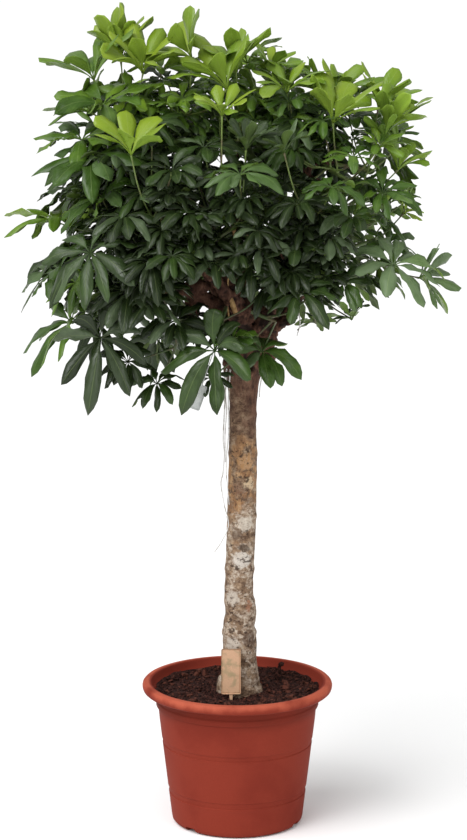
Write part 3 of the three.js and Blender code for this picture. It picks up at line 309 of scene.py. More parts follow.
@dataclass
class Leaf:
    """One compound leaf: where it sits, how it faces, and the leaflets found on it."""

    hub: Point
    facing: Point
    length: float
    open: float
    count: int
    turn: float
    tone: float
    scatter: list = field(default_factory=list)
    petiole: Array | None = None
    blades: list = field(default_factory=list)
    inner: bool = False
    sheen: float = 0.0
    wide: float = 1.0

    def axes(self) -> tuple[Point, Point]:
        """Returns the two directions across the leaf's facing."""
        ahead = unit(np.cross(self.facing, ASKEW))
        return ahead, np.cross(self.facing, ahead)

    def direction(self, around: float, open_angle: float) -> Point:
        """Returns the direction at an angle round the facing and an angle away from it."""
        ahead, aside = self.axes()
        flat = ahead * math.cos(around) + aside * math.sin(around)
        return self.facing * math.cos(open_angle) + flat * math.sin(open_angle)


@dataclass
class Blade:
    """The guide points of one leaflet, in millimetres."""

    hub: Point
    rib: Point
    tip: Point
    across: Point
    half: float
    around: float
    length: float

    def grown(self, factor: float) -> "Blade":
        """Returns the leaflet made longer by a factor."""
        rib, tip = (self.hub + (point - self.hub) * factor for point in (self.rib, self.tip))
        return replace(self, rib=rib, tip=tip, length=self.length * factor)


@dataclass
class Spray:
    """A leafy shoot: its fork, its leaves and the stem that carries them."""

    name: str
    fork: Point
    leaves: list[Leaf]
    stem: tuple[Point, Point] | None = None
    twig: tuple[Point, Point] | None = None


@dataclass(frozen=True)
class LeafForm:
    """The solid leaflets: shares of their length, height of the hub, and how they differ round a leaf."""

    rib: float = 0.55
    half_width: float = 0.19
    arch: float = 0.06
    sag: float = 0.25
    rib_sag: float = 0.035
    hub: float = 1.6
    turn_range: float = 14
    cone_range: float = 12
    least_size: float = 0.84
    size_range: float = 0.24
    cupped_below: float = 60
    cup: float = 0.45


@dataclass(frozen=True)
class StemForm:
    """Radii of stems and petioles in millimetres, where stems start and how petioles bend."""

    least: float = 75
    share: float = 0.42
    seat: float = 0.3
    root: float = 5
    fork: float = 3.6
    petiole: float = 2.1
    tip: float = 1.7
    twig: float = 6.5
    bend: float = 0.6
    dip: float = 0.14
    knuckle: float = 0.5
    knuckle_step: float = 1.9
    foot_swell: float = 1.0
    hub_swell: float = 1.2
    pale: tuple = (1250, 1850)


@dataclass(frozen=True)
class BackRule:
    """How the shoots that face away are spread over an ellipsoid, and how their leaves grow."""

    sprays: int = 18
    seed: int = 41
    shift: float = 0.3
    wide: float = 265
    deep: float = 270
    high: float = 235
    middle: tuple = (232, 214, 20)
    top: float = 0.92
    span: float = 1.72
    arc: float = 1.16
    arc_start: float = 0.08
    leaves: int = 4
    leaflets: int = 5
    outward: float = 0.85
    spread: float = 0.5
    spread_range: float = 0.35
    reach: float = 150
    reach_share: float = 0.75
    reach_range: float = 0.4
    shortest: float = 92
    longest: float = 120
    cone: float = 58
    cone_range: float = 26
    top_cup: float = 20
    fresh_above: float = 0.45
    lift: float = 0.75


# What may have been done to a solid leaflet to keep it clear: lift and swing in degrees, share of length.
WAYS = [
    (0, 0, 1), (12, 0, 1), (-12, 0, 1), (0, 9, 1), (0, -9, 1), (24, 0, 1), (-24, 0, 1),
    (14, 9, 0.9), (-14, -9, 0.9), (0, 0, 0.78), (18, 0, 0.78), (-18, 0, 0.78),
    (32, 8, 0.8), (-32, -8, 0.8), (0, 0, 0.58), (22, 0, 0.58), (-22, 0, 0.58),
]
FREE = (0, 0, 1)  # nothing pushes the leaflet aside
TUCKED = (10, 0, 0.72)  # for a leaflet that the solids had no room for
# How far a petiole may bow aside and up.
BOWS = [
    (0, 0), (14, 0), (-14, 0), (0, 14), (0, -14), (28, 12), (-28, 12), (28, -16), (-28, -16),
    (45, 0), (-45, 0),
]
PUSHES = (0, 30, 60, 90)  # how far a fork may have moved outwards
SHIFTS = (0, -14, 14, -28, 28, -45, 45)  # how far a leaf may have moved in depth
SEATS = (0, 0.02, 0.14, 0.3, 0.5)  # shares of the stem below its fork, where a petiole may start
TWIG_PLACES = np.arange(0.4, 1.001, 0.1)  # shares of a limb, where a twig may start
NEAR = 0.35  # a corner counts as found within this many millimetres
LEAF = LeafForm()
STEM = StemForm()
BACK = BackRule()


class Layout:
    """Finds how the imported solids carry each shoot, so that finer pieces follow them."""

    def __init__(self, nodes: dict) -> None:
        """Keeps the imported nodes, by name."""
        self.nodes = nodes
        self.starts = limb_places()
        self.random = Seeded(5)

    def corners(self, name: str) -> KDTree:
        """Returns a search tree of a node's corners in millimetres.

        Args:
            name: The node's name.

        Returns:
            The tree.
        """
        vertices = self.nodes[name].data.vertices
        tree = KDTree(len(vertices))
        for i, vertex in enumerate(vertices):
            tree.insert(vertex.co / MM, i)
        tree.balance()
        return tree

    def has(self, tree: KDTree, points: list[Point], least: int) -> bool:
        """Returns whether at least so many of the points are corners of the node."""
        return sum(tree.find(Vector(p))[2] < NEAR for p in points) >= least

    def front(self) -> list[tuple[Point, list[Leaf]]]:
        """Returns the fork and leaves of the shoots that show from the front."""
        shoots = []
        for fork, *leaves in FRONT_SPRAYS:
            grown = [
                Leaf(VIEW.at(u, v, y), unit(facing.value), length, cone, count, turn, tone)
                for u, v, y, length, facing, cone, count, turn, tone in leaves
            ]
            shoots.append((VIEW.at(*fork), grown))
        return shoots

    def behind(self) -> list[tuple[Point, list[Leaf]]]:
        """Returns the fork and leaves of the shoots on the sides and the back."""
        random = Seeded(BACK.seed)
        middle = VIEW.at(*BACK.middle)
        shoots = []
        for i in range(BACK.sprays):
            height = BACK.top - BACK.span * (i + 0.5) / BACK.sprays
            turn = ((i * GOLDEN + BACK.shift) % 1) * math.pi * BACK.arc - BACK.arc_start * math.pi
            wide = math.sqrt(1 - height * height)
            out = np.array([math.cos(turn) * wide, math.sin(turn) * wide, height])
            fork = np.array([BACK.wide, BACK.deep, BACK.high]) * out + middle
            side = np.array([-math.sin(turn), math.cos(turn), 0.0])
            shoots.append((fork, self.back_leaves(fork, out, side, height, random)))
        return shoots

    def back_leaves(self, fork: Point, out: Point, side: Point, height: float, random: Seeded) -> list[Leaf]:
        """Grows the leaves of one shoot on the sides or the back.

        Args:
            fork: Where the shoot's petioles part.
            out: Direction away from the crown's middle.
            side: Level direction across it.
            height: Share of the crown's height, from -1 to 1.
            random: The row of numbers that places the leaves.

        Returns:
            The leaves, without their leaflets.
        """
        rise = np.cross(out, side)
        leaves = []
        for k in range(BACK.leaves):
            turn = 2 * math.pi * (k + 0.5 * random()) / BACK.leaves
            spread = BACK.spread + BACK.spread_range * random()
            way = unit(out * BACK.outward + side * math.cos(turn) * spread + rise * math.sin(turn) * spread)
            hub = fork + way * BACK.reach * (BACK.reach_share + BACK.reach_range * random())
            length = BACK.shortest + (BACK.longest - BACK.shortest) * random()
            cone = BACK.cone + BACK.cone_range * random() - BACK.top_cup * max(height, 0)
            tone = int(height > BACK.fresh_above)
            facing = unit(way + np.array([0, 0, BACK.lift]))
            leaves.append(Leaf(hub, facing, length, cone, BACK.leaflets, 360 * random(), tone))
        return leaves

    def scatter(self, leaf: Leaf) -> None:
        """Gives each leaflet of a leaf its small random turn, opening and size.

        Args:
            leaf: The leaf.
        """
        cup = max(0, LEAF.cupped_below - leaf.open) * LEAF.cup
        for k in range(leaf.count):
            turn = (self.random() - 0.5) * LEAF.turn_range
            cone = (self.random() - 0.5) * LEAF.cone_range + (cup if k % 2 else -0.5 * cup)
            leaf.scatter.append((turn, cone, LEAF.least_size + LEAF.size_range * self.random()))

    def blade(self, leaf: Leaf, k: float, scatter: tuple, way: tuple, sag: float = 1) -> Blade:
        """Works out the guide points of one leaflet.

        Args:
            leaf: The leaf that carries it.
            k: Its place round the leaf, in leaflets.
            scatter: Its own turn, opening and size.
            way: Lift, swing and share of length that keep it clear.
            sag: How much it hangs, 1 as the solid does.

        Returns:
            The leaflet's guide points.
        """
        lift, swing, share = way
        around = math.radians(leaf.turn + 360 * k / leaf.count + scatter[0] + swing)
        cone = math.radians(leaf.open + scatter[1] - lift)
        out = leaf.direction(around, math.pi / 2)
        along = leaf.direction(around, cone)
        across = unit(np.cross(leaf.facing, out))
        back = unit(np.cross(across, along))
        length = leaf.length * scatter[2] * share
        fall = length * math.sin(cone) * sag
        rib = leaf.hub + along * LEAF.rib * length - back * LEAF.arch * length
        rib = rib + DOWN * LEAF.rib_sag * fall
        tip = leaf.hub + along * length + DOWN * LEAF.sag * fall
        half = LEAF.half_width * length * math.sqrt(1 / share)
        return Blade(leaf.hub, rib, tip, across, half, around, length)

    def blades(self, leaf: Leaf, sag: float = 1) -> list[Blade]:
        """Works out all the leaflets of a leaf that nothing pushes aside."""
        return [self.blade(leaf, k, scatter, FREE, sag) for k, scatter in enumerate(leaf.scatter)]

    def find_stem(self, spray: Spray, tree: KDTree) -> None:
        """Finds the twig and stem that carry a shoot.

        Args:
            spray: The shoot, which gets them.
            tree: The corners of its node.
        """
        outward = unit(spray.fork - VIEW.at(*BACK.middle))
        for push in PUSHES:
            fork = spray.fork + outward * push
            for start in self.starts:
                if np.linalg.norm(start - fork) < STEM.least:
                    continue
                seat = start + (fork - start) * STEM.share
                foot = seat + unit(fork - start) * STEM.seat
                if self.has(tree, ring(foot, fork - foot, STEM.root, 4), 3):
                    spray.fork, spray.twig, spray.stem = fork, (start, seat), (foot, fork)
                    return
        raise RuntimeError(f"no stem found for {spray.name}")

    def find_petiole(self, spray: Spray, leaf: Leaf, tree: KDTree) -> bool:
        """Finds a leaf's place and petiole.

        Args:
            spray: The leaf's shoot.
            leaf: The leaf, which gets them.
            tree: The corners of the shoot's node.

        Returns:
            Whether the solids have them.
        """
        wished = leaf.hub
        for shift in SHIFTS:
            leaf.hub = wished + np.array([0, shift, 0])
            if not self.has(tree, [leaf.hub + leaf.facing * LEAF.hub], 1):
                continue
            for share in SEATS:
                foot, fork = spray.stem
                start = fork + (foot - fork) * share
                for bow in BOWS:
                    path = bowed(start, leaf, bow)
                    around = ring(path[1], leaf.hub - start, STEM.petiole, 3, leaf.axes()[0])
                    if self.has(tree, around, 2):
                        leaf.petiole = path
                        return True
        return False

    def find(self) -> list[Spray]:
        """Returns every shoot with its stem, leaves and leaflets as the solids have them."""
        sprays = [Spray(f"spray_{i + 1:02d}", *shoot) for i, shoot in enumerate(self.front() + self.behind())]
        for spray in sprays:
            for leaf in spray.leaves:
                self.scatter(leaf)
        lost = 0
        for spray in sprays:
            tree = self.corners(spray.name)
            self.find_stem(spray, tree)
            found = [leaf for leaf in spray.leaves if self.find_petiole(spray, leaf, tree)]
            lost += len(spray.leaves) - len(found)
            spray.leaves = found
            for leaf in found:
                for k, scatter in enumerate(leaf.scatter):
                    ways = [self.blade(leaf, k, scatter, way) for way in WAYS]
                    leaf.blades.append(next((b for b in ways if self.has(tree, [b.tip], 1)), None))
        LOG.info("layout: %d shoots, %d leaves not found", len(sprays), lost)
        return sprays


def limb_places() -> list[Point]:
    """Returns the places on the limbs where a twig may begin."""
    places = []
    for name, bends in LIMBS.items():
        if name.startswith("stub"):
            continue
        points = VIEW.path(bends)
        for t in TWIG_PLACES:
            where = (len(points) - 1) * min(t, 1)
            i = min(int(where), len(points) - 2)
            places.append(points[i] + (points[i + 1] - points[i]) * (where - i))
    return places


def ring(centre: Point, along: Point, radius: float, sides: int, ahead: Point | None = None) -> list[Point]:
    """Gives the corners of a solid tube's end.

    Args:
        centre: Middle of the end.
        along: The tube's direction.
        radius: Its radius in millimetres.
        sides: How many corners it has.
        ahead: Direction of the first corner, or none for the usual one.

    Returns:
        The corners.
    """
    along = unit(along)
    if ahead is None:
        up = np.array([1.0, 0, 0]) if abs(along[2]) > 0.9 else np.array([0, 0, 1.0])
        across = unit(np.cross(up, along))
    else:
        across = unit(ahead - along * float(along @ ahead))
    other = np.cross(along, across)
    turns = [2 * math.pi * k / sides for k in range(sides)]
    return [centre + radius * (across * math.cos(t) + other * math.sin(t)) for t in turns]


def bowed(start: Point, leaf: Leaf, bow: tuple) -> Array:
    """Returns a petiole's foot, middle and hub for a bow aside and up.

    Args:
        start: Where the petiole starts.
        leaf: The leaf at its end.
        bow: How far it bows aside and up.

    Returns:
        The three places.
    """
    along = leaf.hub - start
    side = unit(np.array([-along[1], along[0], 0.0]))
    rise = np.cross(unit(along), side)
    dip = leaf.facing * STEM.dip * float(np.linalg.norm(along))
    middle = start + along * STEM.bend - dip + side * bow[0] + rise * bow[1]
    return np.array([start, middle, leaf.hub])


def deselect() -> None:
    """Leaves nothing selected."""
    bpy.ops.object.select_all(action="DESELECT")
    bpy.context.view_layer.objects.active = None


def activate(obj: Piece) -> None:
    """Selects one object alone and makes it the active one."""
    deselect()
    obj.select_set(True)
    bpy.context.view_layer.objects.active = obj


@contextmanager
def editing() -> Iterator[None]:
    """Holds the active object in edit mode."""
    bpy.ops.object.mode_set(mode="EDIT")
    yield
    bpy.ops.object.mode_set(mode="OBJECT")


def name_active(name: str) -> Piece:
    """Returns the active object under a new name."""
    obj = bpy.context.object
    obj.name = name
    obj.data.name = name
    return obj


def put(name: str, data: bpy.types.ID) -> Piece:
    """Puts new data into the scene as an object at the origin."""
    obj = bpy.data.objects.new(name, data)
    bpy.context.scene.collection.objects.link(obj)
    return obj


def settle(obj: Piece) -> None:
    """Puts an object's place, turn and size into its mesh."""
    activate(obj)
    bpy.ops.object.transform_apply(location=True, rotation=True, scale=True)


def apply_modifiers(obj: Piece) -> None:
    """Applies all of an object's modifiers in order."""
    activate(obj)
    for modifier in list(obj.modifiers):
        bpy.ops.object.modifier_apply(modifier=modifier.name)


def coordinates(obj: Piece) -> Array:
    """Returns the corners of an object's mesh, one row each."""
    co = np.empty(len(obj.data.vertices) * 3)
    obj.data.vertices.foreach_get("co", co)
    return co.reshape(-1, 3)


def reshape(obj: Piece, co: Array) -> None:
    """Moves the corners of an object's mesh to new places."""
    obj.data.vertices.foreach_set("co", np.ascontiguousarray(co, float).ravel())
    obj.data.update()


def take_shape(obj: Piece) -> tuple[Array, list]:
    """Takes a pattern out of the scene and returns its corners and faces."""
    shape = coordinates(obj), [tuple(face.vertices) for face in obj.data.polygons]
    bpy.data.objects.remove(obj)
    return shape


def copies(name: str, points: list[Array], faces: list[tuple]) -> Piece:
    """Makes one mesh of many shaped copies.

    Args:
        name: Name of the piece.
        points: For each copy its corners in millimetres.
        faces: The faces of all the copies.
    """
    mesh = bpy.data.meshes.new(name)
    mesh.from_pydata(np.concatenate(points) * MM, [], faces)
    return put(name, mesh)


def box(name: str, size: tuple, middle: tuple = (0, 0, 0), turn: float = 0) -> Piece:
    """Models a plain box.

    Args:
        name: Name of the piece.
        size: Its width, depth and height in millimetres.
        middle: Its middle in millimetres.
        turn: Its turn about the upright axis in radians.
    """
    deselect()
    bpy.ops.mesh.primitive_cube_add(size=1, location=[c * MM for c in middle], rotation=(0, 0, turn))
    obj = name_active(name)
    obj.scale = [length * MM for length in size]
    settle(obj)
    return obj


def round_corners(obj: Piece, radius: float) -> None:
    """Bevels the edges that run through a plate's thickness.

    Args:
        obj: The plate, thin in Y.
        radius: The corners' radius in millimetres.
    """
    with editing():
        bpy.ops.mesh.select_all(action="DESELECT")
    for edge in obj.data.edges:
        a, b = (obj.data.vertices[i].co for i in edge.vertices)
        edge.select = abs(a.y - b.y) > MM
    with editing():
        bpy.ops.mesh.bevel(offset=radius * MM, segments=4)


def join(objects: list[Piece], name: str) -> Piece:
    """Joins several objects into one with a new name."""
    activate(objects[0])
    for obj in objects:
        obj.select_set(True)
    bpy.ops.object.join()
    return name_active(name)


def smooth(obj: Piece, angle: float = 180) -> None:
    """Shades an object smooth, with sharp edges above an angle in degrees."""
    activate(obj)
    if angle >= 180:
        bpy.ops.object.shade_smooth()
    else:
        bpy.ops.object.shade_smooth_by_angle(angle=math.radians(angle))


def curved(points: Array, steps: int) -> Array:
    """Rounds a bent line of points, or of points with a radius.

    Args:
        points: One row for each bend.
        steps: Pieces between two bends.

    Returns:
        A longer row of points on a smooth line through the bends.
    """
    ends = np.vstack([2 * points[0] - points[1], points, 2 * points[-1] - points[-2]])
    line = []
    for a, b, c, d in zip(ends[:-3], ends[1:-2], ends[2:-1], ends[3:]):
        bend, turn = 2 * a - 5 * b + 4 * c - d, 3 * b - a - 3 * c + d
        for t in np.arange(steps) / steps:
            line.append(0.5 * (2 * b + (c - a) * t + bend * t**2 + turn * t**3))
    return np.array(line + [points[-1]])


def tubes(paths: list[Array], name: str, sides: int = 2) -> Piece:
    """Makes round stems along several lines.

    Args:
        paths: For each stem its points in millimetres, with the radius as the fourth number.
        name: Name of the piece.
        sides: Roundness, as the curve's bevel resolution.

    Returns:
        One mesh with all the stems, closed at their ends.
    """
    curve = bpy.data.curves.new(name, "CURVE")
    curve.dimensions = "3D"
    curve.bevel_depth = 1
    curve.bevel_resolution = sides
    curve.use_fill_caps = True
    for path in paths:
        line = curve.splines.new("POLY")
        line.points.add(len(path) - 1)
        rows = np.c_[path[:, :3] * MM, np.ones(len(path))]
        line.points.foreach_set("co", rows.ravel())
        line.points.foreach_set("radius", path[:, 3] * MM)
    activate(put(name, curve))
    bpy.ops.object.convert(target="MESH")
    return name_active(name)


def strands(paths: list[Array], name: str, sides: int, finish: "Finish") -> Piece:
    """Makes round stems as tubes does, smooth and with a finish."""
    obj = tubes(paths, name, sides)
    smooth(obj)
    coat(obj, finish)
    return obj


def set_values(obj: Piece, name: str, values: Array) -> None:
    """Stores one number for each corner of a mesh, for its material to read."""
    held = obj.data.attributes.new(name, "FLOAT", "POINT")
    held.data.foreach_set("value", np.asarray(values, np.float32))


def coat(obj: Piece, finish: "Finish") -> None:
    """Gives an object one finish all over."""
    obj.data.materials.clear()
    obj.data.materials.append(finish.material())


def adopt(obj: Piece, slot: str, *nodes: str) -> Piece:
    """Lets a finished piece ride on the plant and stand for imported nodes."""
    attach(obj, "root")
    if nodes:
        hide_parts(*nodes)
    LOG.info("%s: %d faces", obj.name, len(obj.data.polygons))
    return obj


@dataclass
class LeafletPattern:
    """One flat leaflet, modelled once: thin, long-stalked and widest past its middle."""

    columns: int = 4
    rows: int = 10
    crowd: float = 0.06
    stalk: float = 0.1
    stalk_half: float = 0.07
    thick: float = 0.6
    fleshy: float = 1.6

    def half_width(self, s: Array, age: float) -> Array:
        """Returns the share of the half width along a leaflet: a young paddle or an old pointed oval.

        Args:
            s: Shares of the length.
            age: 0 for a young leaflet, 1 for an old one.
        """
        t = np.clip((s - self.stalk) / (1 - self.stalk), 0, 1)
        paddle = 2.15 * t**1.45 * np.sqrt(np.clip(1 - t**3.6, 0, 1)) / (0.62 + 0.95 * t)
        oval = (t / 0.6) ** 1.05 * ((1 - t) / 0.4) ** 0.6
        body = paddle + (oval - paddle) * age
        return np.maximum(body, self.stalk_half * (1 - 0.6 * smoothstep(0.9, 1, s)))

    def build(self) -> tuple[Array, list]:
        """Models the leaflet.

        Returns:
            Its corners as place along, place across from -1 to 1 and layer, and its faces.
        """
        deselect()
        bpy.ops.mesh.primitive_grid_add(x_subdivisions=self.columns, y_subdivisions=self.rows, size=2)
        obj = name_active("leaflet_pattern")
        co = coordinates(obj)
        along = (co[:, 1] + 1) / 2
        # rows lie closer together at the stalk and the tip
        co[:, 1] = along - self.crowd * np.sin(2 * np.pi * along)
        co[:, 2] = 0
        reshape(obj, co)
        wall = obj.modifiers.new("wall", "SOLIDIFY")
        wall.thickness = 0.02
        wall.offset = 0
        apply_modifiers(obj)
        co, faces = take_shape(obj)
        layer = np.where(co[:, 2] > 0, 1.0, -1.0)
        along = np.clip(co[:, 1], 0, 1)
        across = np.clip(co[:, 0], -1, 1)
        return np.c_[along, across, layer], faces

    def thickness(self, s: Array, edge: Array) -> Array:
        """Returns the thickness: fleshy along the midrib and stalk, thin at the edge."""
        return self.thick + (1 - edge) ** 3 * (1 - 0.7 * s) * self.fleshy


@dataclass(frozen=True)
class Hold:
    """How leaves with no look of their own are held: heights in millimetres, tones as in the looks. Tones
    rise with height, partly as the young top leaves' own yellow-green and partly as painted light from above,
    and leaves on the right get painted light.
    """

    toward: float = -0.3
    down: float = -0.1
    front_lift: tuple = (0, 0.1, 0.5)
    front_sway: float = 0.14
    front_sag: float = 0.9
    front_tone: float = 0.6
    darker: tuple = (1560, 1480)
    # heights where front tones rise: partly young leaves' yellow-green, partly painted light from above
    lighter_above: tuple = (1600, 1780)
    back_lift: float = 0.5
    back_sway: float = 0.12
    back_sag: tuple = (0.4, 0.2)
    back_low: tuple = (1500, 1300)
    back_shorter: float = 0.2
    back_lowest: tuple = (1340, 1240)
    back_tone: tuple = (0.1, 1.9)
    # heights where back tones rise: partly young leaves' yellow-green, partly painted light from above
    back_lighter_above: tuple = (1480, 1780)
    # painted light on the crown's right side: how much, and across which places
    right_painted_light: float = 0.5
    right: tuple = (180, 380)


@dataclass(frozen=True)
class Curl:
    """How leaflets differ: shares of their length, and angles in radians."""

    hook: tuple = (-0.05, 0.28)
    lean: float = 0.07
    twist: float = 0.22
    end_twist: float = 0.4
    ripples: tuple = (1.2, 2.7)
    wave: tuple = (0.03, 0.085)
    fold: tuple = (-0.02, 0.1)
    ragged: float = 0.07
    width: float = 0.86
    width_range: tuple = (0.86, 1.04)
    old: tuple = (45, 75)
    grown: float = 1.3
    tone: float = 0.07
    # painted shade on leaflets that fill a gap from below
    tucked_painted_shade: float = 0.06
    # painted sheen, a grey reflection: most of it, the chance where it starts, and the least
    sheen: float = 0.5
    sheen_from: float = 0.8
    sheen_least: float = 0.03
    gap: tuple = (44, 66)
    extra_size: tuple = (0.8, 1.02)
    extra_turn: tuple = (-4, 4)
    extra_cone: tuple = (4, 14)


HOLD = Hold()
CURL = Curl()


class SprayBuilder:
    """Builds the fine leaflets, petioles and stem of each shoot."""

    def __init__(self, outer: LeafletPattern, inner: LeafletPattern) -> None:
        """Models the two leaflets that all the others are copies of: a fine one and a plainer one."""
        self.pattern = outer
        self.patterns = {False: outer.build(), True: inner.build()}
        self.random = np.random.default_rng(77)

    def held(self, spray: int, number: int, leaf: Leaf, layout: Layout) -> None:
        """Holds a leaf as the photograph shows it, on the hub and petiole that it has.

        Args:
            spray: Its shoot's number.
            number: Its own number on the shoot.
            leaf: The leaf.
            layout: The layout, which places leaflets.
        """
        look = LOOKS.get((spray, number))
        front = spray < len(FRONT_SPRAYS)
        if look:
            leaf.facing, sag = unit(look.facing), look.sag
            leaf.open, leaf.length, leaf.tone, leaf.sheen = look.open, look.length, look.tone, look.sheen
            leaf.wide = look.wide
        elif front and leaf.facing[1] < HOLD.toward and leaf.facing[2] > HOLD.down:
            leaf.facing = unit(leaf.facing + HOLD.front_lift + self.random.normal(0, HOLD.front_sway, 3))
            sag = HOLD.front_sag
            leaf.tone -= HOLD.front_tone * smoothstep(*HOLD.darker, leaf.hub[2])
            # lighter high up: partly the young leaves' yellow-green, partly painted light from above
            leaf.tone += HOLD.front_tone * smoothstep(*HOLD.lighter_above, leaf.hub[2])
        elif not front and not leaf.inner:
            low = smoothstep(*HOLD.back_low, leaf.hub[2])
            sway = self.random.normal(0, HOLD.back_sway, 3)
            leaf.facing = unit(leaf.facing + (0, 0, HOLD.back_lift * low) + sway)
            sag = HOLD.back_sag[0] + HOLD.back_sag[1] * low
            leaf.length *= 1 - HOLD.back_shorter * smoothstep(*HOLD.back_lowest, leaf.hub[2])
            # lighter high up: partly the young leaves' yellow-green, partly painted light from above
            high = smoothstep(*HOLD.back_lighter_above, leaf.hub[2])
            leaf.tone = HOLD.back_tone[0] + HOLD.back_tone[1] * high
            # painted light: leaves on the crown's right side are lighter
            leaf.tone += HOLD.right_painted_light * smoothstep(*HOLD.right, leaf.hub[0])
        else:
            return
        leaf.blades = layout.blades(leaf, sag)

    def leaflet(self, shape: Array, blade: Blade, age: float, broad: float) -> Array:
        """Bends a copy of a pattern along one leaflet's guide points.

        Args:
            shape: The pattern's corners.
            blade: The guide points.
            age: 0 for a young upright leaflet, 1 for an old drooping one.
            broad: How much broader it is than most.

        Returns:
            The corners in millimetres.
        """
        s, x, layer = shape.T
        random = self.random
        hook = DOWN * blade.length * random.uniform(*CURL.hook) * (0.15 + 0.85 * age)
        lean = random.normal(0, CURL.lean) * blade.length
        steps = np.linspace(0, 1, 13)
        spine = self.spine(blade, hook, lean, steps)
        slope = np.gradient(spine, axis=0)
        rib = np.stack([np.interp(s, steps, spine[:, i]) for i in range(3)], axis=1)
        along = np.stack([np.interp(s, steps, slope[:, i]) for i in range(3)], axis=1)
        along /= np.linalg.norm(along, axis=1)[:, None]
        twist = random.normal(0, CURL.twist) * (0.4 + 0.6 * age)
        twist = twist + random.normal(0, CURL.end_twist) * s**1.5
        over = np.cross(along, blade.across)
        over /= np.linalg.norm(over, axis=1)[:, None]
        across = blade.across * np.cos(twist)[:, None] + over * np.sin(twist)[:, None]
        over = np.cross(along, across)
        wide = self.pattern.half_width(s, age)
        edge = np.abs(x)
        phase = random.uniform(0, 6.28, 2)
        ripples = random.uniform(*CURL.ripples)
        wave = np.sin(2 * np.pi * ripples * s + phase[0] + np.sign(x) * phase[1])
        wave = wave * random.uniform(*CURL.wave) * blade.length * edge**1.6 * wide * (0.3 + 0.7 * age)
        fold = -random.uniform(*CURL.fold) * blade.length * edge**1.35 * wide
        lift = fold + wave + layer * self.pattern.thickness(s, edge) / 2
        ragged = 1 + CURL.ragged * np.sin(2 * np.pi * (ripples + 1.3) * s + phase[1] * np.sign(x))
        width = CURL.width * random.uniform(*CURL.width_range) * (1.14 - 0.14 * age) * broad
        side = blade.half * width * wide * x * ragged
        return rib + across * side[:, None] + over * lift[:, None]

    def spine(self, blade: Blade, hook: Point, lean: float, steps: Array) -> Array:
        """Returns points of the midrib through hub, rib and tip, hooked down and leaning aside."""
        r = LEAF.rib
        hub_part = (steps - r) * (steps - 1) / r
        rib_part = steps * (steps - 1) / (r * (r - 1))
        tip_part = steps * (steps - r) / (1 - r)
        line = np.outer(hub_part, blade.hub) + np.outer(rib_part, blade.rib) + np.outer(tip_part, blade.tip)
        return line + np.outer(steps**3, hook) + np.outer(steps**2, blade.across * lean)

    def own_blades(self, leaf: Leaf, layout: Layout) -> list[tuple[Blade, float]]:
        """Returns a leaf's leaflets, with more of them in its wide gaps, and how deep each lies.

        Args:
            leaf: The leaf.
            layout: The layout, which places leaflets.

        Returns:
            Each leaflet, with 1 where it fills a gap from below and 0 elsewhere.
        """
        blades = []
        for k, blade in enumerate(leaf.blades):
            blade = blade or layout.blade(leaf, k, leaf.scatter[k], TUCKED)
            share = blade.length / (leaf.length * leaf.scatter[k][2])
            blades.append((blade.grown(min(1 / share, CURL.grown)), 0.0))
        turns = sorted(blade.around % (2 * math.pi) for blade, _ in blades)
        for here, there in zip(turns, turns[1:] + [turns[0] + 2 * math.pi]):
            if self.random.random() > smoothstep(*CURL.gap, math.degrees(there - here)):
                continue
            k = (math.degrees((here + there) / 2) - leaf.turn) * leaf.count / 360
            size = self.random.uniform(*CURL.extra_size)
            scatter = (self.random.uniform(*CURL.extra_turn), self.random.uniform(*CURL.extra_cone), size)
            blades.append((layout.blade(leaf, k, scatter, FREE), 1.0))
        return blades

    def leaves(self, spray: Spray, layout: Layout) -> Piece:
        """Builds all the leaflets of a shoot as one mesh.

        Args:
            spray: The shoot.
            layout: The layout, which places leaflets.

        Returns:
            The mesh, with its UV map and its tone for the material.
        """
        points, places, tones, sheens, faces, start = [], [], [], [], [], 0
        for leaf in spray.leaves:
            shape, pattern_faces = self.patterns[leaf.inner]
            age = smoothstep(*CURL.old, leaf.open)
            for blade, depth in self.own_blades(leaf, layout):
                points.append(self.leaflet(shape, blade, age, leaf.wide))
                places.append(shape)
                faces += [tuple(start + i for i in face) for face in pattern_faces]
                # leaflets that fill a gap from below get painted shade, a slightly darker tone
                tone = leaf.tone / 3 + self.random.normal(0, CURL.tone) - CURL.tucked_painted_shade * depth
                tones.append(np.full(len(shape), tone))
                # the sheen attribute sets how much painted sheen, a grey reflection, the material mixes in; a
                # few leaflets at random get more
                chance = self.random.random()
                shine = CURL.sheen * smoothstep(CURL.sheen_from, 1, chance) + CURL.sheen_least
                sheen = leaf.sheen + shine * (1 - 0.8 * tone)
                sheens.append(np.full(len(shape), max(sheen, 0)))
                start += len(shape)
        along, across, layer = np.concatenate(places).T
        obj = copies(spray.name + "_leaves", points, faces)
        mesh = obj.data
        set_values(obj, "tone", np.concatenate(tones))
        set_values(obj, "sheen", np.concatenate(sheens))
        set_values(obj, "under", layer < 0)
        corner = np.empty(len(mesh.loops), np.int32)
        mesh.loops.foreach_get("vertex_index", corner)
        uv = np.c_[across / 2 + 0.5, along][corner]
        mesh.uv_layers.new(name="leaf").data.foreach_set("uv", uv.ravel().astype(np.float32))
        mesh.polygons.foreach_set("use_smooth", np.ones(len(faces), bool))
        coat(obj, FOLIAGE)
        return obj

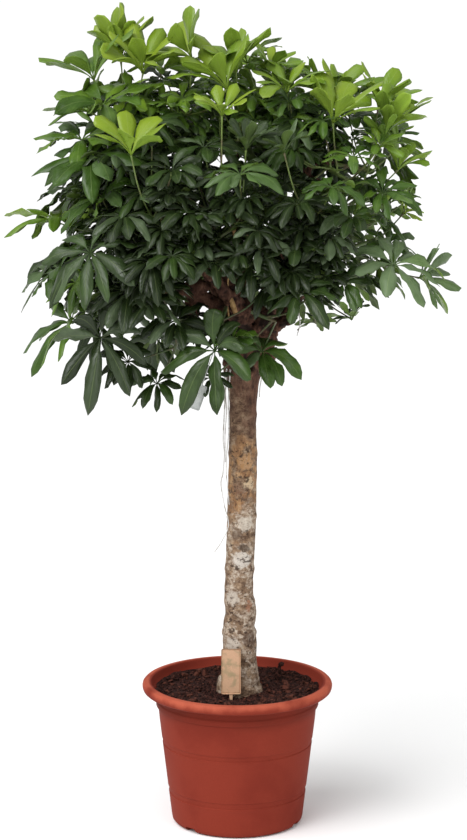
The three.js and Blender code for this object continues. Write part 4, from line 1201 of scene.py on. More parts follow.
    def stems(self, spray: Spray) -> Piece:
        """Builds the green stem of a shoot and the petioles of its leaves.

        Args:
            spray: The shoot.

        Returns:
            The mesh, with its tone for the material.
        """
        foot, fork = spray.stem
        line = curved(np.array([np.r_[foot, STEM.root], np.r_[fork, STEM.fork]]), 14)
        line[:, 3] += STEM.knuckle * np.abs(np.sin(np.arange(len(line)) * STEM.knuckle_step))
        paths = [line]
        for leaf in spray.leaves:
            bends = np.c_[leaf.petiole, (STEM.petiole + 0.5, STEM.petiole - 0.2, STEM.tip)]
            path = curved(bends, 6)
            path[0, 3] += STEM.foot_swell
            path[-1, 3] += STEM.hub_swell
            paths.append(path)
        obj = strands(paths, spray.name + "_stems", 1, GREEN_STEM)
        set_values(obj, "tone", smoothstep(*STEM.pale, coordinates(obj)[:, 2] / MM))
        return obj

    def build(self, sprays: list[Spray], layout: Layout) -> None:
        """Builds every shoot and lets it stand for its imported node.

        Args:
            sprays: The shoots.
            layout: The layout that found them.
        """
        slots = ("leaf_dark", "leaf_mid", "leaf_fresh", "leaf_young")
        for i, spray in enumerate(sprays):
            for k, leaf in enumerate(spray.leaves):
                self.held(i, k, leaf, layout)
            piece = join([self.leaves(spray, layout), self.stems(spray)], spray.name + "_shoot")
            adopt(piece, slots[int(spray.leaves[0].tone)], spray.name)


class Sheet:
    """Places shader nodes in a material or a group, with few words."""

    def __init__(self, tree: bpy.types.NodeTree) -> None:
        """Keeps the node tree that is filled."""
        self.tree = tree

    def node(self, kind: str, inputs: dict | None = None, **settings: object) -> Node:
        """Adds a node.

        Args:
            kind: The node's type name without its prefix.
            inputs: Values or sockets for its inputs, by name or number.
            settings: Values of its own properties.

        Returns:
            The new node.
        """
        added = self.tree.nodes.new("ShaderNode" + kind)
        for name, value in settings.items():
            setattr(added, name, value)
        for name, value in (inputs or {}).items():
            self.feed(added.inputs[name], value)
        return added

    def feed(self, socket: Socket, value: object) -> None:
        """Sets an input to a value or links a socket to it."""
        if isinstance(value, Socket):
            self.tree.links.new(value, socket)
        else:
            socket.default_value = value

    def math(self, operation: str, a: object, b: object = 0.0, c: object = 0.0) -> Socket:
        """Returns the result of a sum on values or sockets."""
        return self.node("Math", {0: a, 1: b, 2: c}, operation=operation).outputs[0]

    def times(self, a: object, b: object) -> Socket:
        """Returns the product of values or sockets."""
        return self.math("MULTIPLY", a, b)

    def held(self, name: str) -> Socket:
        """Returns the number that the mesh holds under a name."""
        return self.node("Attribute", attribute_name=name).outputs["Fac"]

    def place(self) -> Socket:
        """Returns the place on the object."""
        return self.node("TexCoord").outputs["Object"]

    def height(self, place: object) -> Socket:
        """Returns the height of a place."""
        return self.node("SeparateXYZ", {0: place}).outputs[2]

    def noise(self, vector: object, scale: object, detail: float = 3, rough: float = 0.5) -> Socket:
        """Returns a soft random value over the surface."""
        inputs = {"Vector": vector, "Scale": scale, "Detail": detail, "Roughness": rough}
        return self.node("TexNoise", inputs).outputs["Fac"]

    def stretch(self, vector: object, scale: tuple) -> Socket:
        """Returns coordinates stretched by a scale for each direction."""
        return self.node("Mapping", {"Vector": vector, "Scale": scale}).outputs[0]

    def rise(self, value: object, low: object, high: object, start: float = 0, end: float = 1) -> Socket:
        """Returns a value that goes smoothly from start to end between low and high."""
        inputs = {0: value, 1: low, 2: high, 3: start, 4: end}
        return self.node("MapRange", inputs, interpolation_type="SMOOTHSTEP").outputs[0]

    def mix(self, share: object, a: object, b: object, blend: str = "MIX") -> Socket:
        """Returns a colour between two, by a share."""
        added = self.node("Mix", {0: share, 6: a, 7: b}, data_type="RGBA", blend_type=blend)
        return added.outputs[2]

    def ramp(self, value: object, stops: list[tuple[float, tuple]]) -> Socket:
        """Returns the colour that a value has on a ramp of stops.

        Args:
            value: The value or socket.
            stops: Place and colour of each stop.

        Returns:
            The colour.
        """
        added = self.node("ValToRGB", {0: value})
        ramp = added.color_ramp
        while len(ramp.elements) < len(stops):
            ramp.elements.new(1)
        for element, (place, colour) in zip(ramp.elements, stops):
            element.position = place
            element.color = colour
        return added.outputs[0]


def rgb(red: float, green: float, blue: float) -> tuple:
    """Returns the linear colour of three numbers from 0 to 255."""
    linear = [((c / 255 + 0.055) / 1.055) ** 2.4 if c > 10 else c / 3295 for c in (red, green, blue)]
    return (*linear, 1.0)


# Inputs of the group of spots: name, type and usual value.
BLOTCH_INPUTS = (
    ("Base", "Color", GREY), ("Spot", "Color", GREY), ("Scale", "Float", 12.0),
    ("Low", "Float", 0.45), ("High", "Float", 0.7), ("Grain", "Float", 400.0),
)


def blotches() -> bpy.types.NodeTree:
    """Returns the group that gives a surface soft spots of a second colour and a fine grain."""
    tree = bpy.data.node_groups.get("blotches")
    if tree:
        return tree
    tree = bpy.data.node_groups.new("blotches", "ShaderNodeTree")
    for label, kind, value in BLOTCH_INPUTS:
        socket = tree.interface.new_socket(label, in_out="INPUT", socket_type="NodeSocket" + kind)
        socket.default_value = value
    for label, kind in (("Color", "Color"), ("Mask", "Float"), ("Grain", "Float")):
        tree.interface.new_socket(label, in_out="OUTPUT", socket_type="NodeSocket" + kind)
    sheet = Sheet(tree)
    given = tree.nodes.new("NodeGroupInput").outputs
    result = tree.nodes.new("NodeGroupOutput").inputs
    place = sheet.place()
    mask = sheet.rise(sheet.noise(place, given["Scale"], 5), given["Low"], given["High"])
    fine = sheet.noise(place, given["Grain"], 2)
    colour = sheet.mix(mask, given["Base"], given["Spot"])
    shade = sheet.rise(fine, 0.3, 0.7, 0.9, 1.1)
    grey = sheet.node("CombineColor", {0: shade, 1: shade, 2: shade}).outputs[0]
    sheet.feed(result["Color"], sheet.mix(1, colour, grey, "MULTIPLY"))
    sheet.feed(result["Mask"], mask)
    sheet.feed(result["Grain"], fine)
    return sheet.tree


def spotted(sheet: Sheet, **values: object) -> Node:
    """Places the group of spots in a material, with values or sockets for its inputs."""
    inputs = {name.capitalize(): value for name, value in values.items()}
    return sheet.node("Group", inputs, node_tree=blotches())


@dataclass(frozen=True)
class Finish:
    """What all finishes share: a name, a roughness, a relief and a gloss."""

    name: str
    roughness: float = 0.5
    relief: float = 0.2
    relief_depth: float = 0.001
    gloss: float = 0.5

    def material(self) -> bpy.types.Material:
        """Returns the material, built when it is first asked for."""
        known = bpy.data.materials.get(self.name)
        if known:
            return known
        material = bpy.data.materials.new(self.name)
        material.use_nodes = True
        sheet = Sheet(material.node_tree)
        shader = material.node_tree.nodes["Principled BSDF"]
        shader.inputs["Roughness"].default_value = self.roughness
        shader.inputs["Specular IOR Level"].default_value = self.gloss
        self.dress(sheet, shader)
        return material

    def bump(self, sheet: Sheet, shader: Node, height: object) -> None:
        """Gives the surface relief from a height."""
        inputs = {"Height": height, "Strength": self.relief, "Distance": self.relief_depth}
        sheet.feed(shader.inputs["Normal"], sheet.node("Bump", inputs).outputs[0])

    def dress(self, sheet: Sheet, shader: Node) -> None:
        """Fills the material's nodes."""
        raise NotImplementedError


@dataclass(frozen=True)
class LeafFinish(Finish):
    """Glossy leaflets: dark to yellow-green by tone, with pale midrib and side veins, a painted grey sheen,
    and a paler underside that is partly their own colour and partly painted light shining through.
    """

    greens: tuple = (
        (0.0, rgb(24, 36, 13)), (0.2, rgb(34, 51, 17)), (0.46, rgb(56, 84, 25)),
        (0.73, rgb(98, 128, 34)), (1.0, rgb(120, 142, 36)),
    )
    # colour of the painted sheen, a grey reflection of the pale surroundings
    painted_sheen_colour: tuple = rgb(104, 122, 90)
    vein: tuple = rgb(150, 170, 100)
    pairs: float = 9
    slant: float = 5

    def dress(self, sheet: Sheet, shader: Node) -> None:
        """Fills the material's nodes."""
        tone, under, sheen = sheet.held("tone"), sheet.held("under"), sheet.held("sheen")
        place = sheet.node("TexCoord").outputs
        uv = sheet.node("SeparateXYZ", {0: place["UV"]}).outputs
        off_rib = sheet.math("ABSOLUTE", sheet.math("SUBTRACT", uv[0], 0.5))
        cloudy = sheet.noise(place["Object"], 30, 3)
        toned = sheet.math("ADD", tone, sheet.rise(cloudy, 0.3, 0.7, -0.07, 0.07))
        shifted = sheet.math("MULTIPLY_ADD", toned, 0.8, 0.2)
        colour = sheet.ramp(shifted, self.greens)
        # the underside is paler: partly the leaflet's own paler back, partly painted light shining through
        # it, more so on lighter tones
        pale = sheet.mix(0.4, colour, rgb(158, 190, 78))
        # painted sheen: a grey reflection mixed into the colour where the sheen attribute is high
        painted_sheen_share = sheet.times(sheen, sheet.rise(cloudy, 0.3, 0.6, 0.5, 0.8))
        colour = sheet.mix(painted_sheen_share, colour, self.painted_sheen_colour)
        light = sheet.rise(toned, -0.1, 0.9, 0.3, 1)
        colour = sheet.mix(sheet.times(under, light), colour, pale)
        rib = sheet.rise(off_rib, 0.008, 0.03, 1, 0)
        slanted = sheet.math("SUBTRACT", sheet.times(uv[1], self.pairs), sheet.times(off_rib, self.slant))
        wave = sheet.math("ABSOLUTE", sheet.math("SUBTRACT", sheet.math("FRACT", slanted), 0.5))
        veins = sheet.times(sheet.rise(wave, 0.0, 0.07, 1, 0), sheet.rise(off_rib, 0.42, 0.5, 1, 0))
        line = sheet.math("MAXIMUM", sheet.times(rib, 0.16), sheet.times(veins, 0.06))
        colour = sheet.mix(line, colour, self.vein)
        sheet.feed(shader.inputs["Base Color"], colour)
        rough = sheet.rise(cloudy, 0.3, 0.7, self.roughness - 0.06, self.roughness + 0.1)
        sheet.feed(shader.inputs["Roughness"], rough)
        bulge = sheet.rise(wave, 0.0, 0.5)
        self.bump(sheet, shader, sheet.math("SUBTRACT", sheet.times(bulge, 0.5), rib))


@dataclass(frozen=True)
class StemFinish(Finish):
    """Green stems and petioles, paler where they are young."""

    def dress(self, sheet: Sheet, shader: Node) -> None:
        """Fills the material's nodes."""
        green = sheet.mix(sheet.held("tone"), rgb(70, 88, 48), rgb(126, 148, 70))
        spots = spotted(sheet, scale=40, base=green, spot=rgb(96, 84, 62))
        sheet.feed(shader.inputs["Base Color"], spots.outputs["Color"])
        self.bump(sheet, shader, spots.outputs["Grain"])


@dataclass(frozen=True)
class PlasticFinish(Finish):
    """Moulded or printed surface: one colour, soft spots of another and a fine grain."""

    base: tuple = GREY
    spot: tuple = GREY
    scale: float = 9
    grain: float = 700
    low: float = 0.45
    high: float = 0.7

    def dress(self, sheet: Sheet, shader: Node) -> None:
        """Fills the material's nodes."""
        places = {"scale": self.scale, "grain": self.grain, "low": self.low, "high": self.high}
        spots = spotted(sheet, base=self.under_light(sheet), spot=self.spot, **places)
        sheet.feed(shader.inputs["Base Color"], spots.outputs["Color"])
        rough = sheet.rise(spots.outputs["Mask"], 0, 1, self.roughness, self.roughness + 0.12)
        sheet.feed(shader.inputs["Roughness"], rough)
        self.bump(sheet, shader, spots.outputs["Grain"])

    def under_light(self, sheet: Sheet) -> object:
        """Returns the base colour, as a value or a socket."""
        return self.base


@dataclass(frozen=True)
class PotFinish(PlasticFinish):
    """Red-brown plastic, with a painted highlight on the lip's top and painted shade on the neck under the
    lip.
    """

    # colour of the painted highlight on the lip's top
    lip_painted_highlight: tuple = GREY
    # colour of the painted shade on the neck under the lip
    neck_painted_shade: tuple = rgb(80, 30, 22)

    def under_light(self, sheet: Sheet) -> object:
        """Returns the base colour, with a painted highlight on the lip's top and painted shade on the neck
        under the lip.

        Args:
            sheet: The material's sheet.

        Returns:
            The colour.
        """
        place = sheet.place()
        height = sheet.height(place)
        ragged_height = sheet.math("ADD", height, sheet.rise(sheet.noise(place, 30, 4), 0.3, 0.7, -0.004, 0.004))
        outside = sheet.node("VectorMath", {0: place, 1: (1, 1, 0)}, operation="MULTIPLY").outputs[0]
        radius = sheet.node("VectorMath", {0: outside}, operation="LENGTH").outputs["Value"]
        # painted highlight: the lip's top, where light from above falls, is paler
        lip = sheet.times(sheet.rise(ragged_height, 0.322, 0.34), sheet.rise(radius, 0.207, 0.212))
        # painted shade: the neck under the lip is darker, as in the lip's shadow
        neck = sheet.times(sheet.rise(height, 0.262, 0.29), sheet.rise(height, 0.312, 0.326, 1, 0))
        wall = sheet.mix(sheet.times(neck, 0.5), self.base, self.neck_painted_shade)
        return sheet.mix(lip, wall, self.lip_painted_highlight)


@dataclass(frozen=True)
class SoilFinish(Finish):
    """Damp dark potting soil with brown bark in it."""

    browns: tuple = (
        (0.32, rgb(18, 10, 9)), (0.48, rgb(44, 25, 21)), (0.6, rgb(78, 44, 36)),
        (0.72, rgb(122, 82, 64)),
    )

    def dress(self, sheet: Sheet, shader: Node) -> None:
        """Fills the material's nodes."""
        place = sheet.place()
        sheet.feed(shader.inputs["Base Color"], sheet.ramp(sheet.noise(place, 130, 6, 0.72), self.browns))
        self.bump(sheet, shader, sheet.noise(place, 260, 5, 0.7))


# Stains on the front of the trunk: picture point, radius in millimetres and colour.
STAINS = [
    (242, 560, 22, rgb(206, 199, 190)), (244, 548, 12, rgb(66, 54, 45)), (253, 566, 8, rgb(62, 48, 40)),
    (231, 565, 8, rgb(74, 60, 50)), (246, 524, 19, rgb(198, 188, 174)), (236, 534, 14, rgb(96, 78, 64)),
    (246, 462, 20, rgb(166, 124, 80)), (251, 484, 16, rgb(198, 174, 140)), (239, 490, 15, rgb(112, 80, 58)),
    (250, 638, 19, rgb(80, 60, 48)), (251, 606, 13, rgb(146, 100, 74)), (231, 598, 19, rgb(182, 172, 160)),
    (233, 644, 18, rgb(192, 182, 170)),
]


@dataclass(frozen=True)
class BarkFinish(Finish):
    """Grey-brown bark with pale crusts low down, rusty patches higher up and dark blots, and painted shade in
    the hollows of the folds higher up.
    """

    greys: tuple = (
        (0.33, rgb(60, 44, 35)), (0.44, rgb(98, 77, 61)), (0.54, rgb(134, 110, 88)),
        (0.66, rgb(166, 146, 122)),
    )
    ochres: tuple = ((0.35, rgb(116, 80, 56)), (0.55, rgb(168, 128, 88)), (0.7, rgb(200, 172, 134)))
    crusts: tuple = ((0.36, rgb(84, 66, 53)), (0.46, rgb(138, 117, 98)), (0.62, rgb(196, 184, 168)))
    limbs: tuple = ((0.3, rgb(42, 27, 22)), (0.5, rgb(84, 56, 45)), (0.72, rgb(128, 94, 76)))
    blot: tuple = rgb(54, 40, 32)
    speck: tuple = rgb(44, 32, 26)
    # colour of the painted shade in the folds' hollows
    painted_crease_shade: tuple = rgb(26, 17, 14)
    stain_depth: float = -34
    ragged: float = 0.03

    def dress(self, sheet: Sheet, shader: Node) -> None:
        """Fills the material's nodes."""
        place = sheet.place()
        height = sheet.height(place)
        height = sheet.math("ADD", height, sheet.rise(sheet.noise(place, 9, 3), 0.3, 0.7, -0.07, 0.07))
        level = sheet.stretch(place, (1, 1, 1.25))
        grain = sheet.noise(sheet.stretch(place, (1, 1, 0.3)), 120, 6, 0.7)
        patches = sheet.noise(level, 46, 7, 0.72)
        colour = sheet.ramp(patches, self.greys)
        rusty = self.patch(sheet, place, 27, (0.47, 0.54), self.zone(sheet, height, 0.66, 0.76, 0.93, 1.0))
        colour = sheet.mix(sheet.times(rusty, 0.75), colour, sheet.ramp(grain, self.ochres))
        crust = self.patch(sheet, level, 27, (0.47, 0.53), self.zone(sheet, height, 0.2, 0.34, 0.68, 0.8))
        pale = sheet.ramp(sheet.noise(level, 95, 6, 0.78), self.crusts)
        colour = sheet.mix(sheet.times(crust, 0.9), colour, pale)
        colour = self.stained(sheet, place, grain, colour, pale)
        whole = self.zone(sheet, height, 0.1, 0.2, 1.1, 1.2)
        blots = self.patch(sheet, sheet.stretch(place, (1, 1, 1.5)), 52, (0.57, 0.63), whole)
        colour = sheet.mix(sheet.times(blots, 0.85), colour, self.blot)
        specks = sheet.rise(sheet.noise(place, 170, 3, 0.65), 0.57, 0.66)
        colour = sheet.mix(sheet.times(specks, 0.5), colour, self.speck)
        colour = sheet.mix(sheet.rise(height, 0.94, 1.09), colour, sheet.ramp(grain, self.limbs))
        # painted shade: the hollows of the folds high up are darkened
        colour = sheet.mix(sheet.times(sheet.held("painted_hollow_shade"), 0.9), colour, self.painted_crease_shade)
        sheet.feed(shader.inputs["Base Color"], colour)
        relief = sheet.math("ADD", patches, sheet.times(sheet.noise(place, 210, 5, 0.7), 0.5))
        self.bump(sheet, shader, sheet.math("ADD", relief, sheet.times(crust, 0.12)))

    def stained(self, sheet: Sheet, place: object, grain: object, colour: object, pale: object) -> Socket:
        """Lays the stains of the trunk's front over a colour.

        Args:
            sheet: The material's sheet.
            place: Coordinates.
            grain: Noise along the bark, which lets the crust through.
            colour: The colour below the stains.
            pale: The crust's colour.
        """
        ragged = sheet.node("TexNoise", {"Vector": place, "Scale": 90.0, "Detail": 4.0}).outputs["Color"]
        shift = {0: ragged, 1: (self.ragged,) * 3, 2: place}
        ragged = sheet.node("VectorMath", shift, operation="MULTIPLY_ADD")
        for u, v, radius, stain in STAINS:
            # the noise moves a place by half its strength on average
            spot = tuple(VIEW.at(u, v, self.stain_depth) * MM + self.ragged / 2)
            away = sheet.node("VectorMath", {0: ragged.outputs[0], 1: spot}, operation="DISTANCE")
            mask = sheet.rise(away.outputs["Value"], radius * 0.75 * MM, radius * 1.15 * MM, 0.85, 0)
            colour = sheet.mix(mask, colour, sheet.mix(sheet.rise(grain, 0.3, 0.7, 0, 0.4), stain, pale))
        return colour

    def patch(self, sheet: Sheet, place: object, scale: float, edge: tuple, where: object) -> Socket:
        """Returns a mask of irregular patches, kept to where another mask is.

        Args:
            sheet: The material's sheet.
            place: Coordinates.
            scale: How small the patches are.
            edge: Noise values where a patch begins and where it is full.
            where: The mask that limits it.
        """
        return sheet.times(sheet.rise(sheet.noise(place, scale, 7, 0.66), *edge), where)

    def zone(self, sheet: Sheet, height: object, a: float, b: float, c: float, d: float) -> Socket:
        """Returns 1 between the heights b and c, falling to 0 at a and d."""
        return sheet.times(sheet.rise(height, a, b), sheet.rise(height, c, d, 1, 0))


FOLIAGE = LeafFinish("foliage", 0.32, 0.35, 0.0008, 0.28)
GREEN_STEM = StemFinish("green_stem", 0.5, 0.3, 0.0004)
# the lip colour is a painted highlight and the neck colour painted shade
POT = PotFinish(
    "terracotta_plastic", 0.62, 0.12, 0.0004, 0.05, base=rgb(126, 49, 36), spot=rgb(117, 44, 33), scale=7,
    grain=900, lip_painted_highlight=rgb(170, 84, 63),
)
CARD = PlasticFinish(
    "printed_card", 0.45, 0.1, 0.0003, 0.3, base=rgb(190, 152, 122), spot=rgb(156, 136, 104), scale=60
)
TAG = PlasticFinish(
    "pale_tag", 0.4, 0.1, 0.0003, 0.3, base=rgb(172, 175, 173), spot=rgb(150, 154, 150), scale=30
)
SOIL = SoilFinish("damp_soil", 0.9, 0.8, 0.004, 0.15)
CHIPS = PlasticFinish(
    "bark_chips", 0.85, 0.6, 0.002, 0.15, base=rgb(84, 47, 36), spot=rgb(34, 19, 16), scale=90, grain=320
)
BARK = BarkFinish("crusted_bark", 0.85, 0.6, 0.003, 0.2)
OLD_ROOT = PlasticFinish(
    "old_roots", 0.85, 0.4, 0.001, base=rgb(206, 204, 201), spot=rgb(140, 130, 120), scale=50, grain=420
)
CANE = PlasticFinish(
    "cane", 0.6, 0.3, 0.0006, base=rgb(196, 158, 104), spot=rgb(142, 104, 62), scale=45, grain=260
)


@dataclass
class Container:
    """The pot: a tapered wall with two sunk bands and a wide rounded lip, and notches at its foot."""

    segments: int = 96
    foot_radius: float = 156
    wall_foot: float = 13
    wall_rise: float = 270
    flare: float = 32.4
    bands: tuple = ((73, 89), (193, 207))
    band_depth: float = 1.7
    notches: tuple = (-46, 64, 124, 184, 244)
    notch_size: tuple = (60, 32, 24)
    notch_edge: float = 3

    def wall(self, z: float) -> float:
        """Returns the wall's radius at a height."""
        return self.foot_radius + (z - self.wall_foot) / self.wall_rise * self.flare

    def profile(self) -> list[tuple[float, float]]:
        """Returns radius and height of each ring, from the underside up, over the lip and down inside."""
        wall, deep = self.wall, self.band_depth
        rings = [(40, 0), (138, 0), (146, 1.2), (151.5, 4), (155, 8.5), (wall(15), 15)]
        for low, high in self.bands:
            rings += [(wall(low - 0.8), low - 0.8), (wall(low), low), (wall(low) - deep, low + 1.4)]
            rings += [(wall(high) - deep, high - 2), (wall(high), high), (wall(high + 0.8), high + 0.8)]
        # the neck
        rings += [(wall(250), 250), (187.3, 280.5), (188, 282.6), (191.6, 284), (192.8, 286.6), (192.8, 296)]
        rings += [(191.4, 298.6), (191.2, 301), (192.2, 304), (193.2, 312)]
        # the lip, round its edge and over its top
        rings += [(195.5, 315.6), (200, 317.3), (212, 317.6), (218.4, 319.2), (222.6, 322.8), (224.6, 328)]
        rings += [(225, 333), (223.8, 337.4), (220.8, 340.6), (216, 342), (208.5, 342), (205, 340.4)]
        # the inside, down to the floor
        rings += [(203.4, 336), (201.6, 328), (198.6, 321.5), (192, 316), (188.2, 308), (183.6, 284)]
        return rings + [(168, 170), (150.8, 18), (137, 9), (40, 9)]

    def build(self) -> Piece:
        """Turns the profile ring by ring, cuts the notches and dresses the pot."""
        obj = turned(self.profile(), self.segments, "container")
        cutters = []
        for degrees in self.notches:
            turn = math.radians(degrees - 90)
            middle = (self.foot_radius * math.cos(turn), self.foot_radius * math.sin(turn), 0)
            cutter = box("notch", self.notch_size, middle, turn)
            edge = cutter.modifiers.new("edge", "BEVEL")
            edge.width = self.notch_edge * MM
            edge.segments = 3
            apply_modifiers(cutter)
            cutters.append(cutter)
        cutter = join(cutters, "notches")
        cut = obj.modifiers.new("cut", "BOOLEAN")
        cut.object = cutter
        cut.operation = "DIFFERENCE"
        cut.solver = "EXACT"
        apply_modifiers(obj)
        bpy.data.objects.remove(cutter)
        smooth(obj, 28)
        coat(obj, POT)
        return adopt(obj, "pot_plastic", "pot")


def turned(profile: list[tuple[float, float]], segments: int, name: str) -> Piece:
    """Turns a closed round body by extruding and resizing a circle.

    Args:
        profile: Radius and height of each ring in millimetres; the ends are closed flat.
        segments: Corners of each ring.
        name: Name of the piece.

    Returns:
        The body, with its faces outwards.
    """
    deselect()
    radius, low = profile[0]
    bpy.ops.mesh.primitive_circle_add(
        vertices=segments, radius=radius * MM, fill_type="NGON", location=(0, 0, low * MM)
    )
    obj = name_active(name)
    settle(obj)
    with editing():
        bpy.ops.mesh.select_all(action="SELECT")
        bpy.ops.mesh.flip_normals()
        for (r1, z1), (r2, z2) in zip(profile, profile[1:]):
            step = (0, 0, (z2 - z1) * MM)
            bpy.ops.mesh.extrude_region_move(TRANSFORM_OT_translate={"value": step})
            share = r2 / r1
            bpy.ops.transform.resize(value=(share, share, 1), center_override=(0, 0, z2 * MM))
        bpy.ops.mesh.select_all(action="SELECT")
        bpy.ops.mesh.normals_make_consistent(inside=False)
    return obj


class Lump(Enum):
    """The kinds of lumps on the soil: name, and share of the size along, across and up."""

    CRUMB = ("crumb", (1, 0.85, 0.7))
    CHIP = ("chip", (1, 0.62, 0.34))


@dataclass
class SoilBed:
    """The soil: a lumpy disc that fills the pot, with crumbs and bark chips on it."""

    top: float = 313
    radius: float = 196.5
    segments: int = 120
    heap: float = 6
    heap_spread: float = 9000
    edge_rise: float = 8
    fine: float = 1.1
    fine_radius: float = 190
    crumbs: int = 4200
    crumb_sizes: tuple = (2, 8)
    chips: int = 170
    chip_sizes: tuple = (6, 20)
    strewn: float = 193
    pot_inside: float = 191
    lifted: float = 0.18
    standing: tuple = ((97, 96, 8, 15, 30), (101, 96, 26, 11, 28), (106, 95, 40, 15, 13))
    seed: int = 12

    def height(self, x: Array | float, y: Array | float) -> Array | float:
        """Returns the soil's height at a place, as the solid has it."""
        waves = np.sin(x / 23 + 1.3) * np.cos(y / 19) + 0.6 * np.sin(x / 11 - y / 13)
        waves = waves + 0.4 * np.cos(y / 7 + x / 31)
        edge = self.edge_rise * smoothstep(176, 198, np.hypot(x, y))
        heap = self.heap * np.exp(-(x * x + y * y) / self.heap_spread)
        return self.top + heap + 7 * 0.45 * waves + edge

    def bed(self) -> Piece:
        """Models the disc: rings of corners, raised by the height and by fine noise."""
        rings = [(40, 9.8), (136.4, 9.8), (150, 18.6), (182.4, 284), (186.8, 307), (191.6, 314.2)]
        rings += [(r, self.top) for r in np.linspace(self.radius, 3, 34)]
        obj = turned(rings, self.segments, "soil_bed")
        co = coordinates(obj) / MM
        random = np.random.default_rng(self.seed)
        top = np.isclose(co[:, 2], self.top, atol=0.01)
        x, y = co[top, 0], co[top, 1]
        fine = random.normal(0, self.fine, top.sum()) * (np.hypot(x, y) < self.fine_radius)
        co[top, 2] = self.height(x, y) + fine
        reshape(obj, co * MM)
        smooth(obj)
        coat(obj, SOIL)
        return obj

    def pattern(self, kind: Lump) -> tuple[Array, list]:
        """Models one crumb or one chip.

        Args:
            kind: Which of them.

        Returns:
            Its corners at size one, and its faces.
        """
        deselect()
        if kind is Lump.CHIP:
            bpy.ops.mesh.primitive_cube_add(size=1)
            with editing():
                bpy.ops.mesh.select_all(action="SELECT")
                bpy.ops.mesh.subdivide(number_cuts=1)
                bpy.ops.mesh.vertices_smooth(factor=0.35)
        else:
            bpy.ops.mesh.primitive_ico_sphere_add(subdivisions=1, radius=0.5)
        return take_shape(name_active("lump_pattern"))

    def scattered(self, kind: Lump, count: int, least: float, most: float) -> Piece:
        """Scatters copies of a crumb or chip over the soil.

        Args:
            kind: Which of them.
            count: How many.
            least: Smallest size in millimetres.
            most: Largest size.

        Returns:
            One mesh with all of them.
        """
        name, flat = kind.value
        shape, faces = self.pattern(kind)
        random = np.random.default_rng(self.seed + count)
        points, shapes = [], []
        for _ in range(count):
            turn, reach = random.uniform(0, 2 * np.pi), self.strewn * math.sqrt(random.uniform(0.06, 1))
            size = least + (most - least) * random.random() ** 2.5
            reach = min(reach, self.pot_inside - size * 0.5)
            x, y = reach * math.cos(turn), reach * math.sin(turn)
            lump = shape * (1 + random.normal(0, 0.12, shape.shape)) * size * flat
            tilt = random.normal(0, 0.45, 3)
            lump = lump @ turn_matrix(tilt[0], tilt[1], random.uniform(0, 6.28)).T
            heap = float(5 * smoothstep(160, 190, reach)) * random.random()
            points.append(lump + (x, y, float(self.height(x, y)) + self.lifted * size + heap))
        if kind is Lump.CRUMB:
            for x, y, rise, width, length in self.standing:
                lump = shape * (1 + random.normal(0, 0.1, shape.shape)) * (width, width * 0.7, length)
                points.append(lump + (x, y, float(self.height(x, y)) + rise))
        for start in range(0, len(points) * len(shape), len(shape)):
            shapes += [tuple(start + k for k in face) for face in faces]
        obj = copies(f"soil_{name}s", points, shapes)
        if kind is Lump.CRUMB:
            smooth(obj)
        coat(obj, CHIPS if kind is Lump.CHIP else SOIL)
        return obj

    def build(self) -> None:
        """Builds the soil, its crumbs and its chips."""
        adopt(self.bed(), "soil", "soil")
        adopt(self.scattered(Lump.CRUMB, self.crumbs, *self.crumb_sizes), "soil")
        adopt(self.scattered(Lump.CHIP, self.chips, *self.chip_sizes), "soil")


def turn_matrix(a: float, b: float, c: float) -> Array:
    """Returns the matrix of turns about X, then Y, then Z."""
    ca, sa, cb, sb, cc, sc = math.cos(a), math.sin(a), math.cos(b), math.sin(b), math.cos(c), math.sin(c)
    about_x = np.array([[1, 0, 0], [0, ca, -sa], [0, sa, ca]])
    about_y = np.array([[cb, 0, sb], [0, 1, 0], [-sb, 0, cb]])
    about_z = np.array([[cc, -sc, 0], [sc, cc, 0], [0, 0, 1]])
    return about_z @ about_y @ about_x


